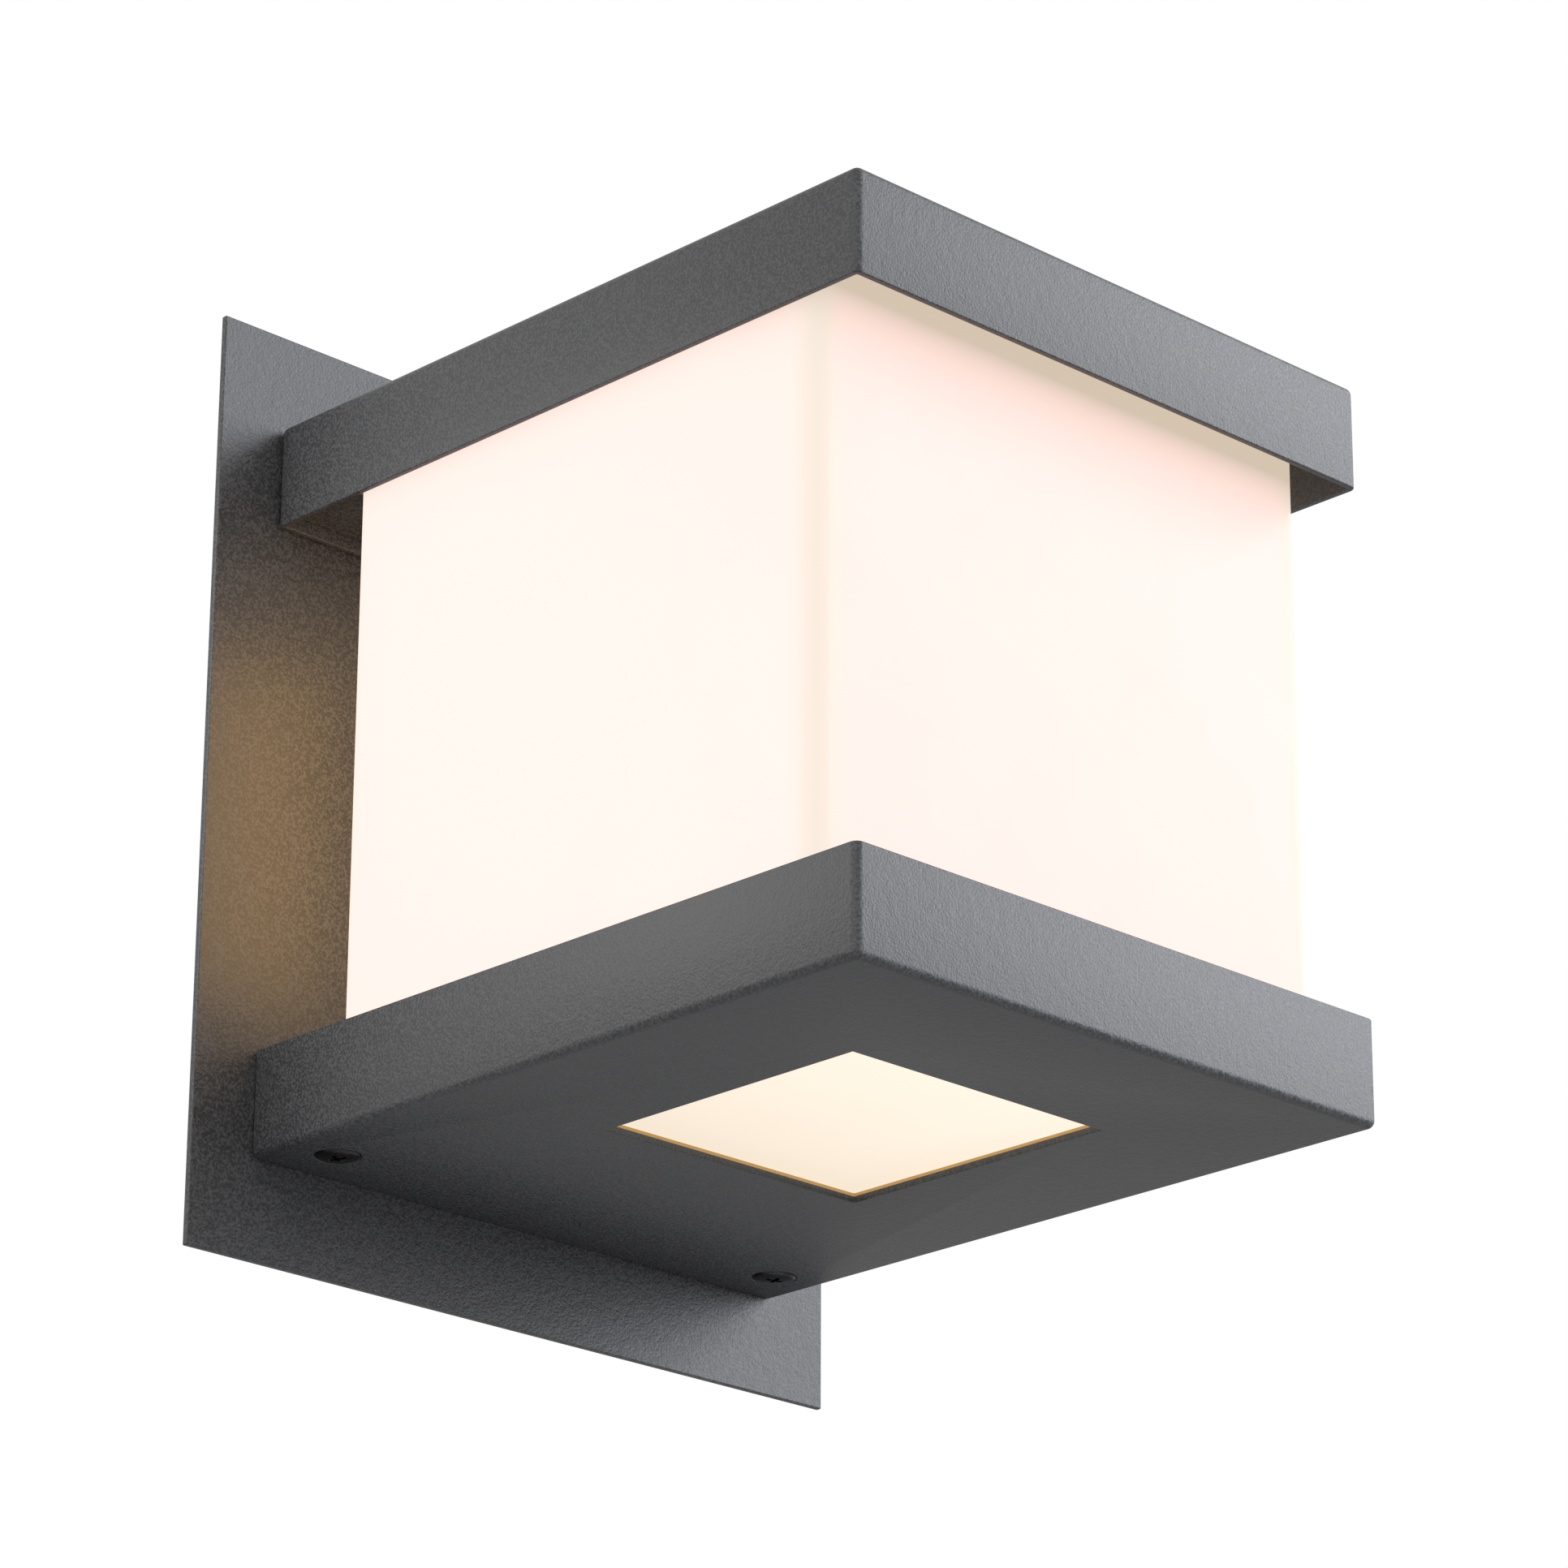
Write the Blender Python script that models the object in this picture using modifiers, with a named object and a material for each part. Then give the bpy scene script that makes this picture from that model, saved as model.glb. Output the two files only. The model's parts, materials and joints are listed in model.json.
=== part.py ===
"""Outdoor wall lantern: a folded cap and tray on a wall plate, with an opal diffuser between them.

Metres, +Z up, +X to the right of a viewer facing the wall, +Y into the wall. The origin is the
centre of the wall plate's back face. Undoing two screws lets the tray and diffuser come down.
"""

import math

import bmesh
import bpy
from mathutils import Matrix, Vector

# Driving dimensions
PLATE_WIDTH = 0.182
PLATE_HEIGHT = 0.210
PLATE_SHEET = 0.0015
PLATE_EDGE = 0.0003  # rounding of the plate's cut edges

BODY_WIDTH = 0.150
BODY_DEPTH = 0.178  # from the plate's front face to the front of the cap and the tray
BODY_HEIGHT = 0.166  # from the tray's underside to the cap's top
CAP_HEIGHT = 0.0235
TRAY_HEIGHT = 0.0235
BODY_SHEET = 0.0015
FOLD_RADIUS = 0.0018  # outside radius of the folds
LIP_EDGE = 0.0003  # rounding of the cut edges of cap and tray

WINDOW_SIZE = 0.0715  # square opening in the tray's floor
WINDOW_FROM_FRONT = 0.0405  # tray's front face to the window's nearest edge

DIFFUSER_WALL = 0.003
DIFFUSER_CORNER = 0.004
DIFFUSER_FLOOR_EDGE = 0.0015
DIFFUSER_BACK_GAP = 0.023  # plate's front face to the diffuser
RIM_ENTRY = 0.012  # how far the diffuser's rim reaches up into the cap

CARRIER_SHEET = 0.0012
CARRIER_FOLD = 0.0015
SHELF_RECESS = 0.003  # the carrier's rear shelf above the cap's lower edge

SCREW_FROM_SIDE = 0.012  # tray screw axis to the tray's outer side
SCREW_FROM_PLATE = 0.0135  # tray screw axis to the plate's front face
SCREW_RADIUS = 0.0024
SCREW_HEAD_RADIUS = 0.0048
SCREW_HEAD_RISE = 0.0008  # lens of the head below the tray
SCREW_PITCH = 0.0008
SCREW_TURNS = 6
TRAY_NUT_ACROSS = 0.008
TRAY_NUT_HEIGHT = 0.004

BRACKET_SHEET = 0.0015
BRACKET_WIDTH = 0.018
BRACKET_REACH = 0.0195  # plate's front face to the foot's end
BRACKET_LEG = 0.0135

STUD_RADIUS = 0.002
STUD_LENGTH = 0.0085
NUT_ACROSS = 0.007
NUT_HEIGHT = 0.0032
CAP_STUD_FROM_SIDE = 0.015  # cap stud axis to the cap's outer side
STUD_SPACING = 0.018  # cable bush to the earth stud
EARTH_TAIL = 0.0085  # reach of the earth tag's tail from its stud
EARTH_TAG_SHEET = 0.0008
POST_RADIUS = 0.003
POST_INBOARD = 0.010  # carrier posts from the cap studs, towards the middle

GROMMET_INBOARD = 0.016  # cable bush from the cap stud, towards the middle
GROMMET_SLEEVE_RADIUS = 0.007
GROMMET_FLANGE_RADIUS = 0.0083
GROMMET_BORE_RADIUS = 0.004

SLOT_X = 0.035
SLOT_LENGTH = 0.014
SLOT_WIDTH = 0.006

HOLDER_SHELL_WALL = 0.001
HOLDER_WALL = 0.0037  # porcelain round the bore
HOLDER_FLANGE_WIDTH = 0.0035
HOLDER_HEIGHT = 0.030
HOLDER_CROWN = 0.008  # thickness above the bore
HOLDER_SCREW_SETBACK = 0.005  # flange's edge to the screw axis
WIRE_HOLE_RADIUS = 0.006

THREAD_RADIUS = 0.0131  # E27 lamp cap over its thread
THREAD_DEPTH = 0.0009
THREAD_PITCH = 0.003629
LAMP_CAP_LENGTH = 0.024
LAMP_RADIUS = 0.030
LAMP_LENGTH = 0.108
LAMP_CAP_WALL = 0.0007
HOUSING_WALL = 0.002
DOME_WALL = 0.0015
LED_BOARD_SHEET = 0.0016

BLOCK_POLES = ("live", "neutral", "earth")
BLOCK_PITCH = 0.008
BLOCK_DEPTH = 0.013
BLOCK_HEIGHT = 0.011
LEAD_RADIUS = 0.0011

RIM_GASKET_HEIGHT = 0.003
WINDOW_GASKET_HEIGHT = 0.001
WINDOW_GASKET_WIDTH = 0.006
WINDOW_GASKET_SETBACK = 0.0015  # window's edge to the gasket

STOP_WIDTH = 0.030
STOP_HEIGHT = 0.010
STOP_SHEET = 0.0012
STOP_FOOT = 0.010

# Clearances
REST_GAP = 0.0003  # between pieces that lie on each other
SIDE_GAP = 0.0015  # diffuser inside the tray, each side
FRONT_GAP = 0.0125  # diffuser behind the tray's front wall
WEB_GAP = 0.001  # diffuser past the carrier's web as it comes down
CARRIER_GAP = 0.0004  # carrier inside the cap, each side
HOLE_GAP = 0.0004  # screws, studs and rings in their holes, radially
SHELL_GAP = 0.0004  # lamp cap inside the lampholder's shell, radially
RING_LEDGE = 0.0004  # screw's ring inside the head's radius
SLEEVE_WALL = 0.0012

# Places worked out from the dimensions above
PLATE_FRONT = -PLATE_SHEET
BODY_BACK = PLATE_FRONT - REST_GAP
BODY_FRONT = PLATE_FRONT - BODY_DEPTH
TOP = BODY_HEIGHT / 2
BOTTOM = -BODY_HEIGHT / 2
CEILING = TOP - BODY_SHEET
CAP_EDGE = TOP - CAP_HEIGHT
TRAY_EDGE = BOTTOM + TRAY_HEIGHT
TRAY_FLOOR = BOTTOM + BODY_SHEET
INNER_HALF_WIDTH = BODY_WIDTH / 2 - BODY_SHEET
INNER_FRONT = BODY_FRONT + BODY_SHEET
FLANGE_FACE = BODY_BACK - BODY_SHEET  # inner face of the cap's rear flange

DIFFUSER_HALF_WIDTH = INNER_HALF_WIDTH - SIDE_GAP
DIFFUSER_BACK = PLATE_FRONT - DIFFUSER_BACK_GAP
DIFFUSER_FRONT = INNER_FRONT + FRONT_GAP
DIFFUSER_BASE = TRAY_FLOOR + 2 * REST_GAP + WINDOW_GASKET_HEIGHT
DIFFUSER_RIM = CAP_EDGE + RIM_ENTRY
LIGHT_Y = (DIFFUSER_FRONT + DIFFUSER_BACK) / 2

WINDOW_FRONT = BODY_FRONT + WINDOW_FROM_FRONT
WINDOW_BACK = WINDOW_FRONT + WINDOW_SIZE

RIM_GASKET_BASE = DIFFUSER_RIM + REST_GAP
CARRIER_UNDERSIDE = RIM_GASKET_BASE + RIM_GASKET_HEIGHT + REST_GAP
CARRIER_TOP = CARRIER_UNDERSIDE + CARRIER_SHEET
SHELF_UNDERSIDE = CAP_EDGE + SHELF_RECESS
SHELF_TOP = SHELF_UNDERSIDE + CARRIER_SHEET
WEB_FRONT = DIFFUSER_BACK + WEB_GAP
CHAMBER_Z = (SHELF_TOP + CEILING) / 2
CHAMBER_Y = (WEB_FRONT + CARRIER_SHEET + FLANGE_FACE) / 2
CAP_STUD_X = BODY_WIDTH / 2 - CAP_STUD_FROM_SIDE
GROMMET_X = CAP_STUD_X - GROMMET_INBOARD
EARTH_STUD_X = GROMMET_X - STUD_SPACING

SCREW_X = BODY_WIDTH / 2 - SCREW_FROM_SIDE
SCREW_Y = PLATE_FRONT - SCREW_FROM_PLATE
SCREW_TRAVEL = SCREW_PITCH * SCREW_TURNS
RING_RADIUS = SCREW_HEAD_RADIUS - RING_LEDGE
RING_HEIGHT = 0.0008
RING_BASE = TRAY_FLOOR + REST_GAP + SCREW_TRAVEL + REST_GAP
SLEEVE_BORE_RADIUS = RING_RADIUS + HOLE_GAP
SLEEVE_RADIUS = SLEEVE_BORE_RADIUS + SLEEVE_WALL
FOOT_UNDERSIDE = RING_BASE + RING_HEIGHT + REST_GAP
FOOT_TOP = FOOT_UNDERSIDE + BRACKET_SHEET
TRAY_NUT_BASE = FOOT_TOP + REST_GAP
SCREW_TIP = TRAY_NUT_BASE + TRAY_NUT_HEIGHT + REST_GAP
BRACKET_STUD_Z = FOOT_UNDERSIDE + BRACKET_LEG / 2 + BRACKET_SHEET / 2

LAMP_CAP_TOP_RADIUS = (THREAD_RADIUS - THREAD_DEPTH) * 0.78
HOLDER_BORE_RADIUS = THREAD_RADIUS + SHELL_GAP + HOLDER_SHELL_WALL + REST_GAP
HOLDER_SKIRT_RADIUS = HOLDER_BORE_RADIUS + HOLDER_WALL
HOLDER_FLANGE_RADIUS = HOLDER_SKIRT_RADIUS + HOLDER_FLANGE_WIDTH
HOLDER_SCREW_X = HOLDER_FLANGE_RADIUS - HOLDER_SCREW_SETBACK
HOLDER_TOP = CARRIER_UNDERSIDE - REST_GAP
HOLDER_BASE = HOLDER_TOP - HOLDER_HEIGHT
HOLDER_CEILING = HOLDER_TOP - HOLDER_CROWN
CONTACT_SHEET = 0.0005
CONTACT_UNDERSIDE = HOLDER_CEILING - REST_GAP - CONTACT_SHEET
LAMP_TOP = CONTACT_UNDERSIDE - REST_GAP
LAMP_BOTTOM = LAMP_TOP - LAMP_LENGTH

SIDES = (("left", -1), ("right", 1))


def new_collection(name):
    collection = bpy.data.collections.new(name)
    bpy.context.scene.collection.children.link(collection)
    return collection


def new_material(name, colour, roughness, metallic=0.0, emission=0.0):
    material = bpy.data.materials.new(name)
    material.use_nodes = True
    shader = material.node_tree.nodes["Principled BSDF"]
    shader.inputs["Base Color"].default_value = (*colour, 1.0)
    shader.inputs["Roughness"].default_value = roughness
    shader.inputs["Metallic"].default_value = metallic
    shader.inputs["Emission Color"].default_value = (*colour, 1.0)
    shader.inputs["Emission Strength"].default_value = emission
    material.diffuse_color = (*colour, 1.0)
    return material


for old in list(bpy.data.objects):
    bpy.data.objects.remove(old, do_unlink=True)

lantern = new_collection("outdoor_wall_lantern")
cutters = new_collection("cutters")

POWDER_COAT = new_material("powder_coat", (0.085, 0.085, 0.085), 0.5)
OPAL = new_material("opal_acrylic", (0.95, 0.90, 0.82), 0.3, emission=1.0)
ZINC = new_material("zinc_plate", (0.60, 0.61, 0.62), 0.35, 1.0)
BLACK_ZINC = new_material("black_zinc", (0.035, 0.035, 0.04), 0.3, 1.0)
BRASS = new_material("brass", (0.72, 0.54, 0.25), 0.3, 1.0)
NICKEL = new_material("nickel", (0.70, 0.68, 0.65), 0.25, 1.0)
RUBBER = new_material("black_rubber", (0.02, 0.02, 0.02), 0.8)
FOAM = new_material("grey_foam", (0.25, 0.25, 0.26), 0.9)
SILICONE = new_material("clear_silicone", (0.75, 0.74, 0.70), 0.5)
PORCELAIN = new_material("porcelain", (0.90, 0.89, 0.86), 0.15)
ALUMINIUM = new_material("aluminium", (0.80, 0.81, 0.82), 0.3, 1.0)
NYLON = new_material("white_nylon", (0.82, 0.81, 0.76), 0.4)
BLACK_GLASS = new_material("black_glass", (0.01, 0.01, 0.015), 0.1)
BROWN = new_material("brown_insulation", (0.16, 0.06, 0.02), 0.4)
BLUE = new_material("blue_insulation", (0.03, 0.12, 0.45), 0.4)
GREEN = new_material("green_insulation", (0.25, 0.45, 0.05), 0.4)


def add(name, data, material=None, location=(0, 0, 0), rotation=(0, 0, 0)):
    """Links a new object: a part if it has a material, otherwise a cutter."""
    obj = bpy.data.objects.new(name, data)
    obj.location = location
    obj.rotation_euler = rotation
    if material is None:
        cutters.objects.link(obj)
        obj.hide_render = True
        obj.display_type = "WIRE"
    else:
        lantern.objects.link(obj)
        data.materials.append(material)
    return obj


def mesh_from(bm, name, smooth_angle=None):
    mesh = bpy.data.meshes.new(name)
    bm.to_mesh(mesh)
    bm.free()
    if smooth_angle:
        mesh.shade_smooth()
        mesh.set_sharp_from_angle(angle=smooth_angle)
    return mesh


def cube_between(low, high):
    """A bmesh box from its lowest to its highest corner."""
    low, high = Vector(low), Vector(high)
    size = high - low
    bm = bmesh.new()
    matrix = Matrix.Translation((low + high) / 2) @ Matrix.Diagonal((*size, 1.0))
    bmesh.ops.create_cube(bm, size=1.0, matrix=matrix)
    return bm


def box(name, low, high, material=None, upright_radius=0.0, segments=4):
    """A block, with its upright edges rounded if upright_radius is set."""
    bm = cube_between(low, high)
    if upright_radius:
        upright = [e for e in bm.edges if abs((e.verts[0].co - e.verts[1].co).normalized().z) > 0.99]
        bmesh.ops.bevel(
            bm, geom=upright, offset=upright_radius, segments=segments, profile=0.5, affect="EDGES"
        )
    return add(name, mesh_from(bm, name), material)


def open_box(name, low, high, removed, material):
    """A thin-walled pan's outer surface: a box without the faces whose normals are in removed."""
    bm = cube_between(low, high)
    bm.normal_update()
    gone = [f for f in bm.faces if any((f.normal - Vector(n)).length < 0.01 for n in removed)]
    bmesh.ops.delete(bm, geom=gone, context="FACES")
    return add(name, mesh_from(bm, name), material)


def rounded(obj, width, segments=2, angle=60, name="edge rounding"):
    bevel = obj.modifiers.new(name, "BEVEL")
    bevel.width = width
    bevel.segments = segments
    bevel.limit_method = "ANGLE"
    bevel.angle_limit = math.radians(angle)
    bevel.harden_normals = False
    return bevel


def thickened(obj, thickness, offset=-1.0):
    solidify = obj.modifiers.new("sheet", "SOLIDIFY")
    solidify.thickness = thickness
    solidify.offset = offset
    solidify.use_even_offset = True
    return solidify


def cylinder(name, radius, start, end, material=None, location=(0, 0, 0), rotation=(0, 0, 0), sides=24):
    """A cylinder along its own Z from start to end."""
    bm = bmesh.new()
    bmesh.ops.create_cone(
        bm,
        cap_ends=True,
        segments=sides,
        radius1=radius,
        radius2=radius,
        depth=end - start,
        matrix=Matrix.Translation((0, 0, (start + end) / 2)),
    )
    return add(name, mesh_from(bm, name, math.radians(40)), material, location, rotation)


def turned(name, profile, material=None, location=(0, 0, 0), rotation=(0, 0, 0), steps=24, closed=False):
    """A lathe shape about its own Z. The profile is (radius, height) and runs down the outside."""
    bm = bmesh.new()
    verts = [bm.verts.new((radius, 0, height)) for radius, height in profile]
    for first, second in zip(verts, verts[1:]):
        bm.edges.new((first, second))
    if closed:
        bm.edges.new((verts[-1], verts[0]))
    obj = add(name, mesh_from(bm, name), material, location, rotation)
    screw = obj.modifiers.new("turn", "SCREW")
    screw.steps = screw.render_steps = steps
    screw.use_merge_vertices = True
    screw.merge_threshold = 1e-6
    screw.use_smooth_shade = True
    return obj


def cut(obj, cutter):
    boolean = obj.modifiers.new("cut " + cutter.name, "BOOLEAN")
    boolean.operation = "DIFFERENCE"
    boolean.solver = "EXACT"
    boolean.object = cutter


def join(obj, other):
    """Unions a helper object, kept among the cutters, into obj."""
    boolean = obj.modifiers.new("join " + other.name, "BOOLEAN")
    boolean.operation = "UNION"
    boolean.solver = "EXACT"
    boolean.object = other


FACING_ROOM = (math.radians(90), 0, 0)  # an object's own +Z points out of the wall, along -Y
CUT_PAST = 0.002  # how far cutters run past a face


def hole_through_wall(name, radius, x, z, depth):
    """A cutter on a horizontal axis from behind the wall face to depth in front of it."""
    return cylinder(name, radius, -CUT_PAST, depth, None, (x, 0, z), FACING_ROOM)


def bolt(name, radius, head_radius, head_height, length, material, location, rotation=(0, 0, 0)):
    """A pan-head screw about its own Z: the shank runs up from the head's seat at z = 0."""
    tip = radius * 0.25
    profile = [
        (0, length),
        (radius - tip, length),
        (radius, length - tip),
        (radius, 0),
        (head_radius, 0),
        (head_radius, -head_height * 0.55),
        (head_radius * 0.8, -head_height * 0.92),
        (0, -head_height),
    ]
    screw = turned(name, profile, material, location, rotation, steps=16)
    slot = box(
        name + "_slot",
        (-head_radius * 1.1, -head_radius * 0.13, -head_height - CUT_PAST),
        (head_radius * 1.1, head_radius * 0.13, -head_height * 0.55),
    )
    slot.location = location
    slot.rotation_euler = rotation
    cut(screw, slot)
    return screw


def hex_nut(name, across, height, bore, material, location, rotation=(0, 0, 0)):
    """A nut about its own Z, from z = 0 up."""
    corner = across / math.sqrt(3)
    nut = cylinder(name, corner, 0, height, material, location, rotation, sides=6)
    nut.data.shade_flat()
    hole = cylinder(name + "_bore", bore, -CUT_PAST, height + CUT_PAST, None, location, rotation, sides=16)
    cut(nut, hole)
    return nut


def stud(name, x, z):
    """A weld stud on the plate's front face."""
    chamfer = STUD_RADIUS * 0.25
    profile = [
        (0, STUD_LENGTH),
        (STUD_RADIUS - chamfer, STUD_LENGTH),
        (STUD_RADIUS, STUD_LENGTH - chamfer),
        (STUD_RADIUS, 0),
        (0, 0),
    ]
    return turned(name, profile, ZINC, (x, BODY_BACK, z), FACING_ROOM, steps=16)


def folded_sheet(name, section, x_low, x_high, sheet, fold, material):
    """A strip of sheet metal folded along X: section is its (y, z) mid line."""
    bm = bmesh.new()
    verts = [bm.verts.new((x_low, y, z)) for y, z in section]
    edges = [bm.edges.new(pair) for pair in zip(verts, verts[1:])]
    extruded = bmesh.ops.extrude_edge_only(bm, edges=edges)["geom"]
    moved = [item for item in extruded if isinstance(item, bmesh.types.BMVert)]
    bmesh.ops.translate(bm, verts=moved, vec=(x_high - x_low, 0, 0))
    bmesh.ops.recalc_face_normals(bm, faces=bm.faces)
    strip = add(name, mesh_from(bm, name), material)
    rounded(strip, fold, segments=3, angle=45, name="folds")
    thickened(strip, sheet, offset=0.0)
    return strip


def smooth_route(points, per_span=4):
    """Points along a Catmull-Rom curve through the given ones."""
    route = [Vector(p) for p in points]
    ends = [2 * route[0] - route[1]] + route + [2 * route[-1] - route[-2]]
    result = []
    for i in range(1, len(ends) - 2):
        a, b, c, d = ends[i - 1 : i + 3]
        for step in range(per_span):
            t = step / per_span
            result.append(
                0.5
                * (
                    2 * b
                    + (c - a) * t
                    + (2 * a - 5 * b + 4 * c - d) * t**2
                    + (3 * b - a - 3 * c + d) * t**3
                )
            )
    result.append(route[-1])
    return result


def lead(name, points, material):
    """An insulated wire along a smooth route."""
    curve = bpy.data.curves.new(name, "CURVE")
    curve.dimensions = "3D"
    curve.bevel_depth = LEAD_RADIUS
    curve.bevel_resolution = 2
    curve.use_fill_caps = True
    route = smooth_route(points)
    spline = curve.splines.new("POLY")
    spline.points.add(len(route) - 1)
    for point, place in zip(spline.points, route):
        point.co = (*place, 1.0)
    return add(name, curve, material)


def axis_empty(name, location):
    empty = bpy.data.objects.new(name, None)
    empty.empty_display_size = 0.02
    empty.location = location
    lantern.objects.link(empty)
    return empty


def carry(empty, *pieces):
    """Parents the pieces to an empty on their joint's axis, where they are."""
    for piece in pieces:
        piece.parent = empty
        piece.matrix_parent_inverse = Matrix.Translation(empty.location).inverted()


def make_wall_plate():
    plate = box(
        "wall_plate",
        (-PLATE_WIDTH / 2, PLATE_FRONT, -PLATE_HEIGHT / 2),
        (PLATE_WIDTH / 2, 0, PLATE_HEIGHT / 2),
        POWDER_COAT,
    )
    rounded(plate, PLATE_EDGE)
    for side, sign in SIDES:
        slot = hole_through_wall(f"wall_slot_{side}", SLOT_WIDTH / 2, sign * SLOT_X, 0, PLATE_SHEET + CUT_PAST)
        stretch = (SLOT_LENGTH - SLOT_WIDTH) / 2
        for vert in slot.data.vertices:
            if abs(vert.co.x) > 1e-6:
                vert.co.x += math.copysign(stretch, vert.co.x)
        cut(plate, slot)
    cut(
        plate,
        hole_through_wall(
            "plate_cable_hole", GROMMET_SLEEVE_RADIUS + REST_GAP, GROMMET_X, CHAMBER_Z, PLATE_SHEET + CUT_PAST
        ),
    )


def make_top_cap():
    cap = open_box(
        "top_cap",
        (-BODY_WIDTH / 2, BODY_FRONT, CAP_EDGE),
        (BODY_WIDTH / 2, BODY_BACK, TOP),
        [(0, 0, -1)],
        POWDER_COAT,
    )
    rounded(cap, FOLD_RADIUS, segments=3, name="folds")
    thickened(cap, BODY_SHEET)
    rounded(cap, LIP_EDGE, segments=1, name="lip")
    through_flange = -FLANGE_FACE + CUT_PAST
    for side, sign in SIDES:
        x = sign * CAP_STUD_X
        cut(cap, hole_through_wall(f"cap_stud_hole_{side}", STUD_RADIUS + HOLE_GAP, x, CHAMBER_Z, through_flange))
        stud(f"cap_stud_{side}", x, CHAMBER_Z)
        hex_nut(
            f"cap_nut_{side}",
            NUT_ACROSS,
            NUT_HEIGHT,
            STUD_RADIUS + REST_GAP,
            ZINC,
            (x, FLANGE_FACE - REST_GAP, CHAMBER_Z),
            FACING_ROOM,
        )
    cut(
        cap,
        hole_through_wall("earth_stud_hole", STUD_RADIUS + HOLE_GAP, EARTH_STUD_X, CHAMBER_Z, through_flange),
    )
    cut(
        cap,
        hole_through_wall(
            "cap_cable_hole", GROMMET_SLEEVE_RADIUS + REST_GAP, GROMMET_X, CHAMBER_Z, through_flange
        ),
    )


def make_cable_entry():
    """A rubber bush flush with the plate's back, with its flange inside the cap."""
    sleeve_length = -FLANGE_FACE + REST_GAP
    flange = 0.002
    turned(
        "cable_grommet",
        [
            (GROMMET_BORE_RADIUS, sleeve_length + flange),
            (GROMMET_FLANGE_RADIUS - 0.0006, sleeve_length + flange),
            (GROMMET_FLANGE_RADIUS, sleeve_length + flange - 0.0006),
            (GROMMET_FLANGE_RADIUS, sleeve_length),
            (GROMMET_SLEEVE_RADIUS, sleeve_length),
            (GROMMET_SLEEVE_RADIUS, REST_GAP),
            (GROMMET_BORE_RADIUS, REST_GAP),
        ],
        RUBBER,
        (GROMMET_X, 0, CHAMBER_Z),
        FACING_ROOM,
        closed=True,
    )


def make_earth_point():
    stud("earth_stud", EARTH_STUD_X, CHAMBER_Z)
    tag_y = FLANGE_FACE - REST_GAP
    tag = cylinder(
        "earth_tag", NUT_ACROSS * 0.55, 0, EARTH_TAG_SHEET, ZINC, (EARTH_STUD_X, tag_y, CHAMBER_Z), FACING_ROOM
    )
    tail_half_width = 0.0015
    tail = box(
        "earth_tag_tail",
        (EARTH_STUD_X - EARTH_TAIL, tag_y - EARTH_TAG_SHEET, CHAMBER_Z - tail_half_width),
        (EARTH_STUD_X - STUD_RADIUS - HOLE_GAP, tag_y, CHAMBER_Z + tail_half_width),
    )
    join(tag, tail)
    cut(
        tag,
        cylinder(
            "earth_tag_hole",
            STUD_RADIUS + HOLE_GAP,
            -CUT_PAST,
            EARTH_TAG_SHEET + CUT_PAST,
            None,
            (EARTH_STUD_X, tag_y, CHAMBER_Z),
            FACING_ROOM,
            sides=16,
        ),
    )
    hex_nut(
        "earth_nut",
        NUT_ACROSS,
        NUT_HEIGHT,
        STUD_RADIUS + REST_GAP,
        BRASS,
        (EARTH_STUD_X, tag_y - EARTH_TAG_SHEET - REST_GAP, CHAMBER_Z),
        FACING_ROOM,
    )
    return tag_y - EARTH_TAG_SHEET / 2


def make_carrier():
    """Coated sheet under the cap's ceiling: it holds the lampholder and closes the wiring space."""
    half_width = INNER_HALF_WIDTH - CARRIER_GAP
    half_sheet = CARRIER_SHEET / 2
    carrier = folded_sheet(
        "lamp_carrier",
        [
            (INNER_FRONT + CARRIER_GAP, CARRIER_UNDERSIDE + half_sheet),
            (WEB_FRONT + half_sheet, CARRIER_UNDERSIDE + half_sheet),
            (WEB_FRONT + half_sheet, SHELF_UNDERSIDE + half_sheet),
            (FLANGE_FACE - CARRIER_GAP, SHELF_UNDERSIDE + half_sheet),
        ],
        -half_width,
        half_width,
        CARRIER_SHEET,
        CARRIER_FOLD,
        POWDER_COAT,
    )
    wire_hole = cylinder(
        "carrier_wire_hole",
        WIRE_HOLE_RADIUS,
        CARRIER_UNDERSIDE - CUT_PAST,
        CARRIER_TOP + CUT_PAST,
        None,
        (0, LIGHT_Y, 0),
    )
    cut(carrier, wire_hole)

    post_x = CAP_STUD_X - POST_INBOARD
    front_y = (DIFFUSER_FRONT + INNER_FRONT) / 2
    posts = (
        ("left", -post_x, CHAMBER_Y, SHELF_UNDERSIDE, SHELF_TOP),
        ("right", post_x, CHAMBER_Y, SHELF_UNDERSIDE, SHELF_TOP),
        ("front", 0.0, front_y, CARRIER_UNDERSIDE, CARRIER_TOP),
    )
    screw_radius, head_radius, head_height = 0.0015, 0.0028, 0.0018
    for place, x, y, underside, top in posts:
        hole = cylinder(
            f"carrier_hole_{place}",
            screw_radius + HOLE_GAP,
            underside - CUT_PAST,
            top + CUT_PAST,
            None,
            (x, y, 0),
            sides=16,
        )
        cut(carrier, hole)
        post_base, post_top = top + REST_GAP, CEILING - REST_GAP
        post = cylinder(f"carrier_post_{place}", POST_RADIUS, post_base, post_top, ZINC, (x, y, 0), sides=6)
        post.data.shade_flat()
        depth = (post_top - post_base) * 0.7
        bore = cylinder(
            f"carrier_post_bore_{place}",
            screw_radius + REST_GAP,
            post_base - CUT_PAST,
            post_base + depth,
            None,
            (x, y, 0),
            sides=16,
        )
        cut(post, bore)
        seat = underside - REST_GAP
        bolt(
            f"carrier_screw_{place}",
            screw_radius,
            head_radius,
            head_height,
            post_base + depth - REST_GAP - seat,
            ZINC,
            (x, y, seat),
        )
    return carrier


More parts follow.
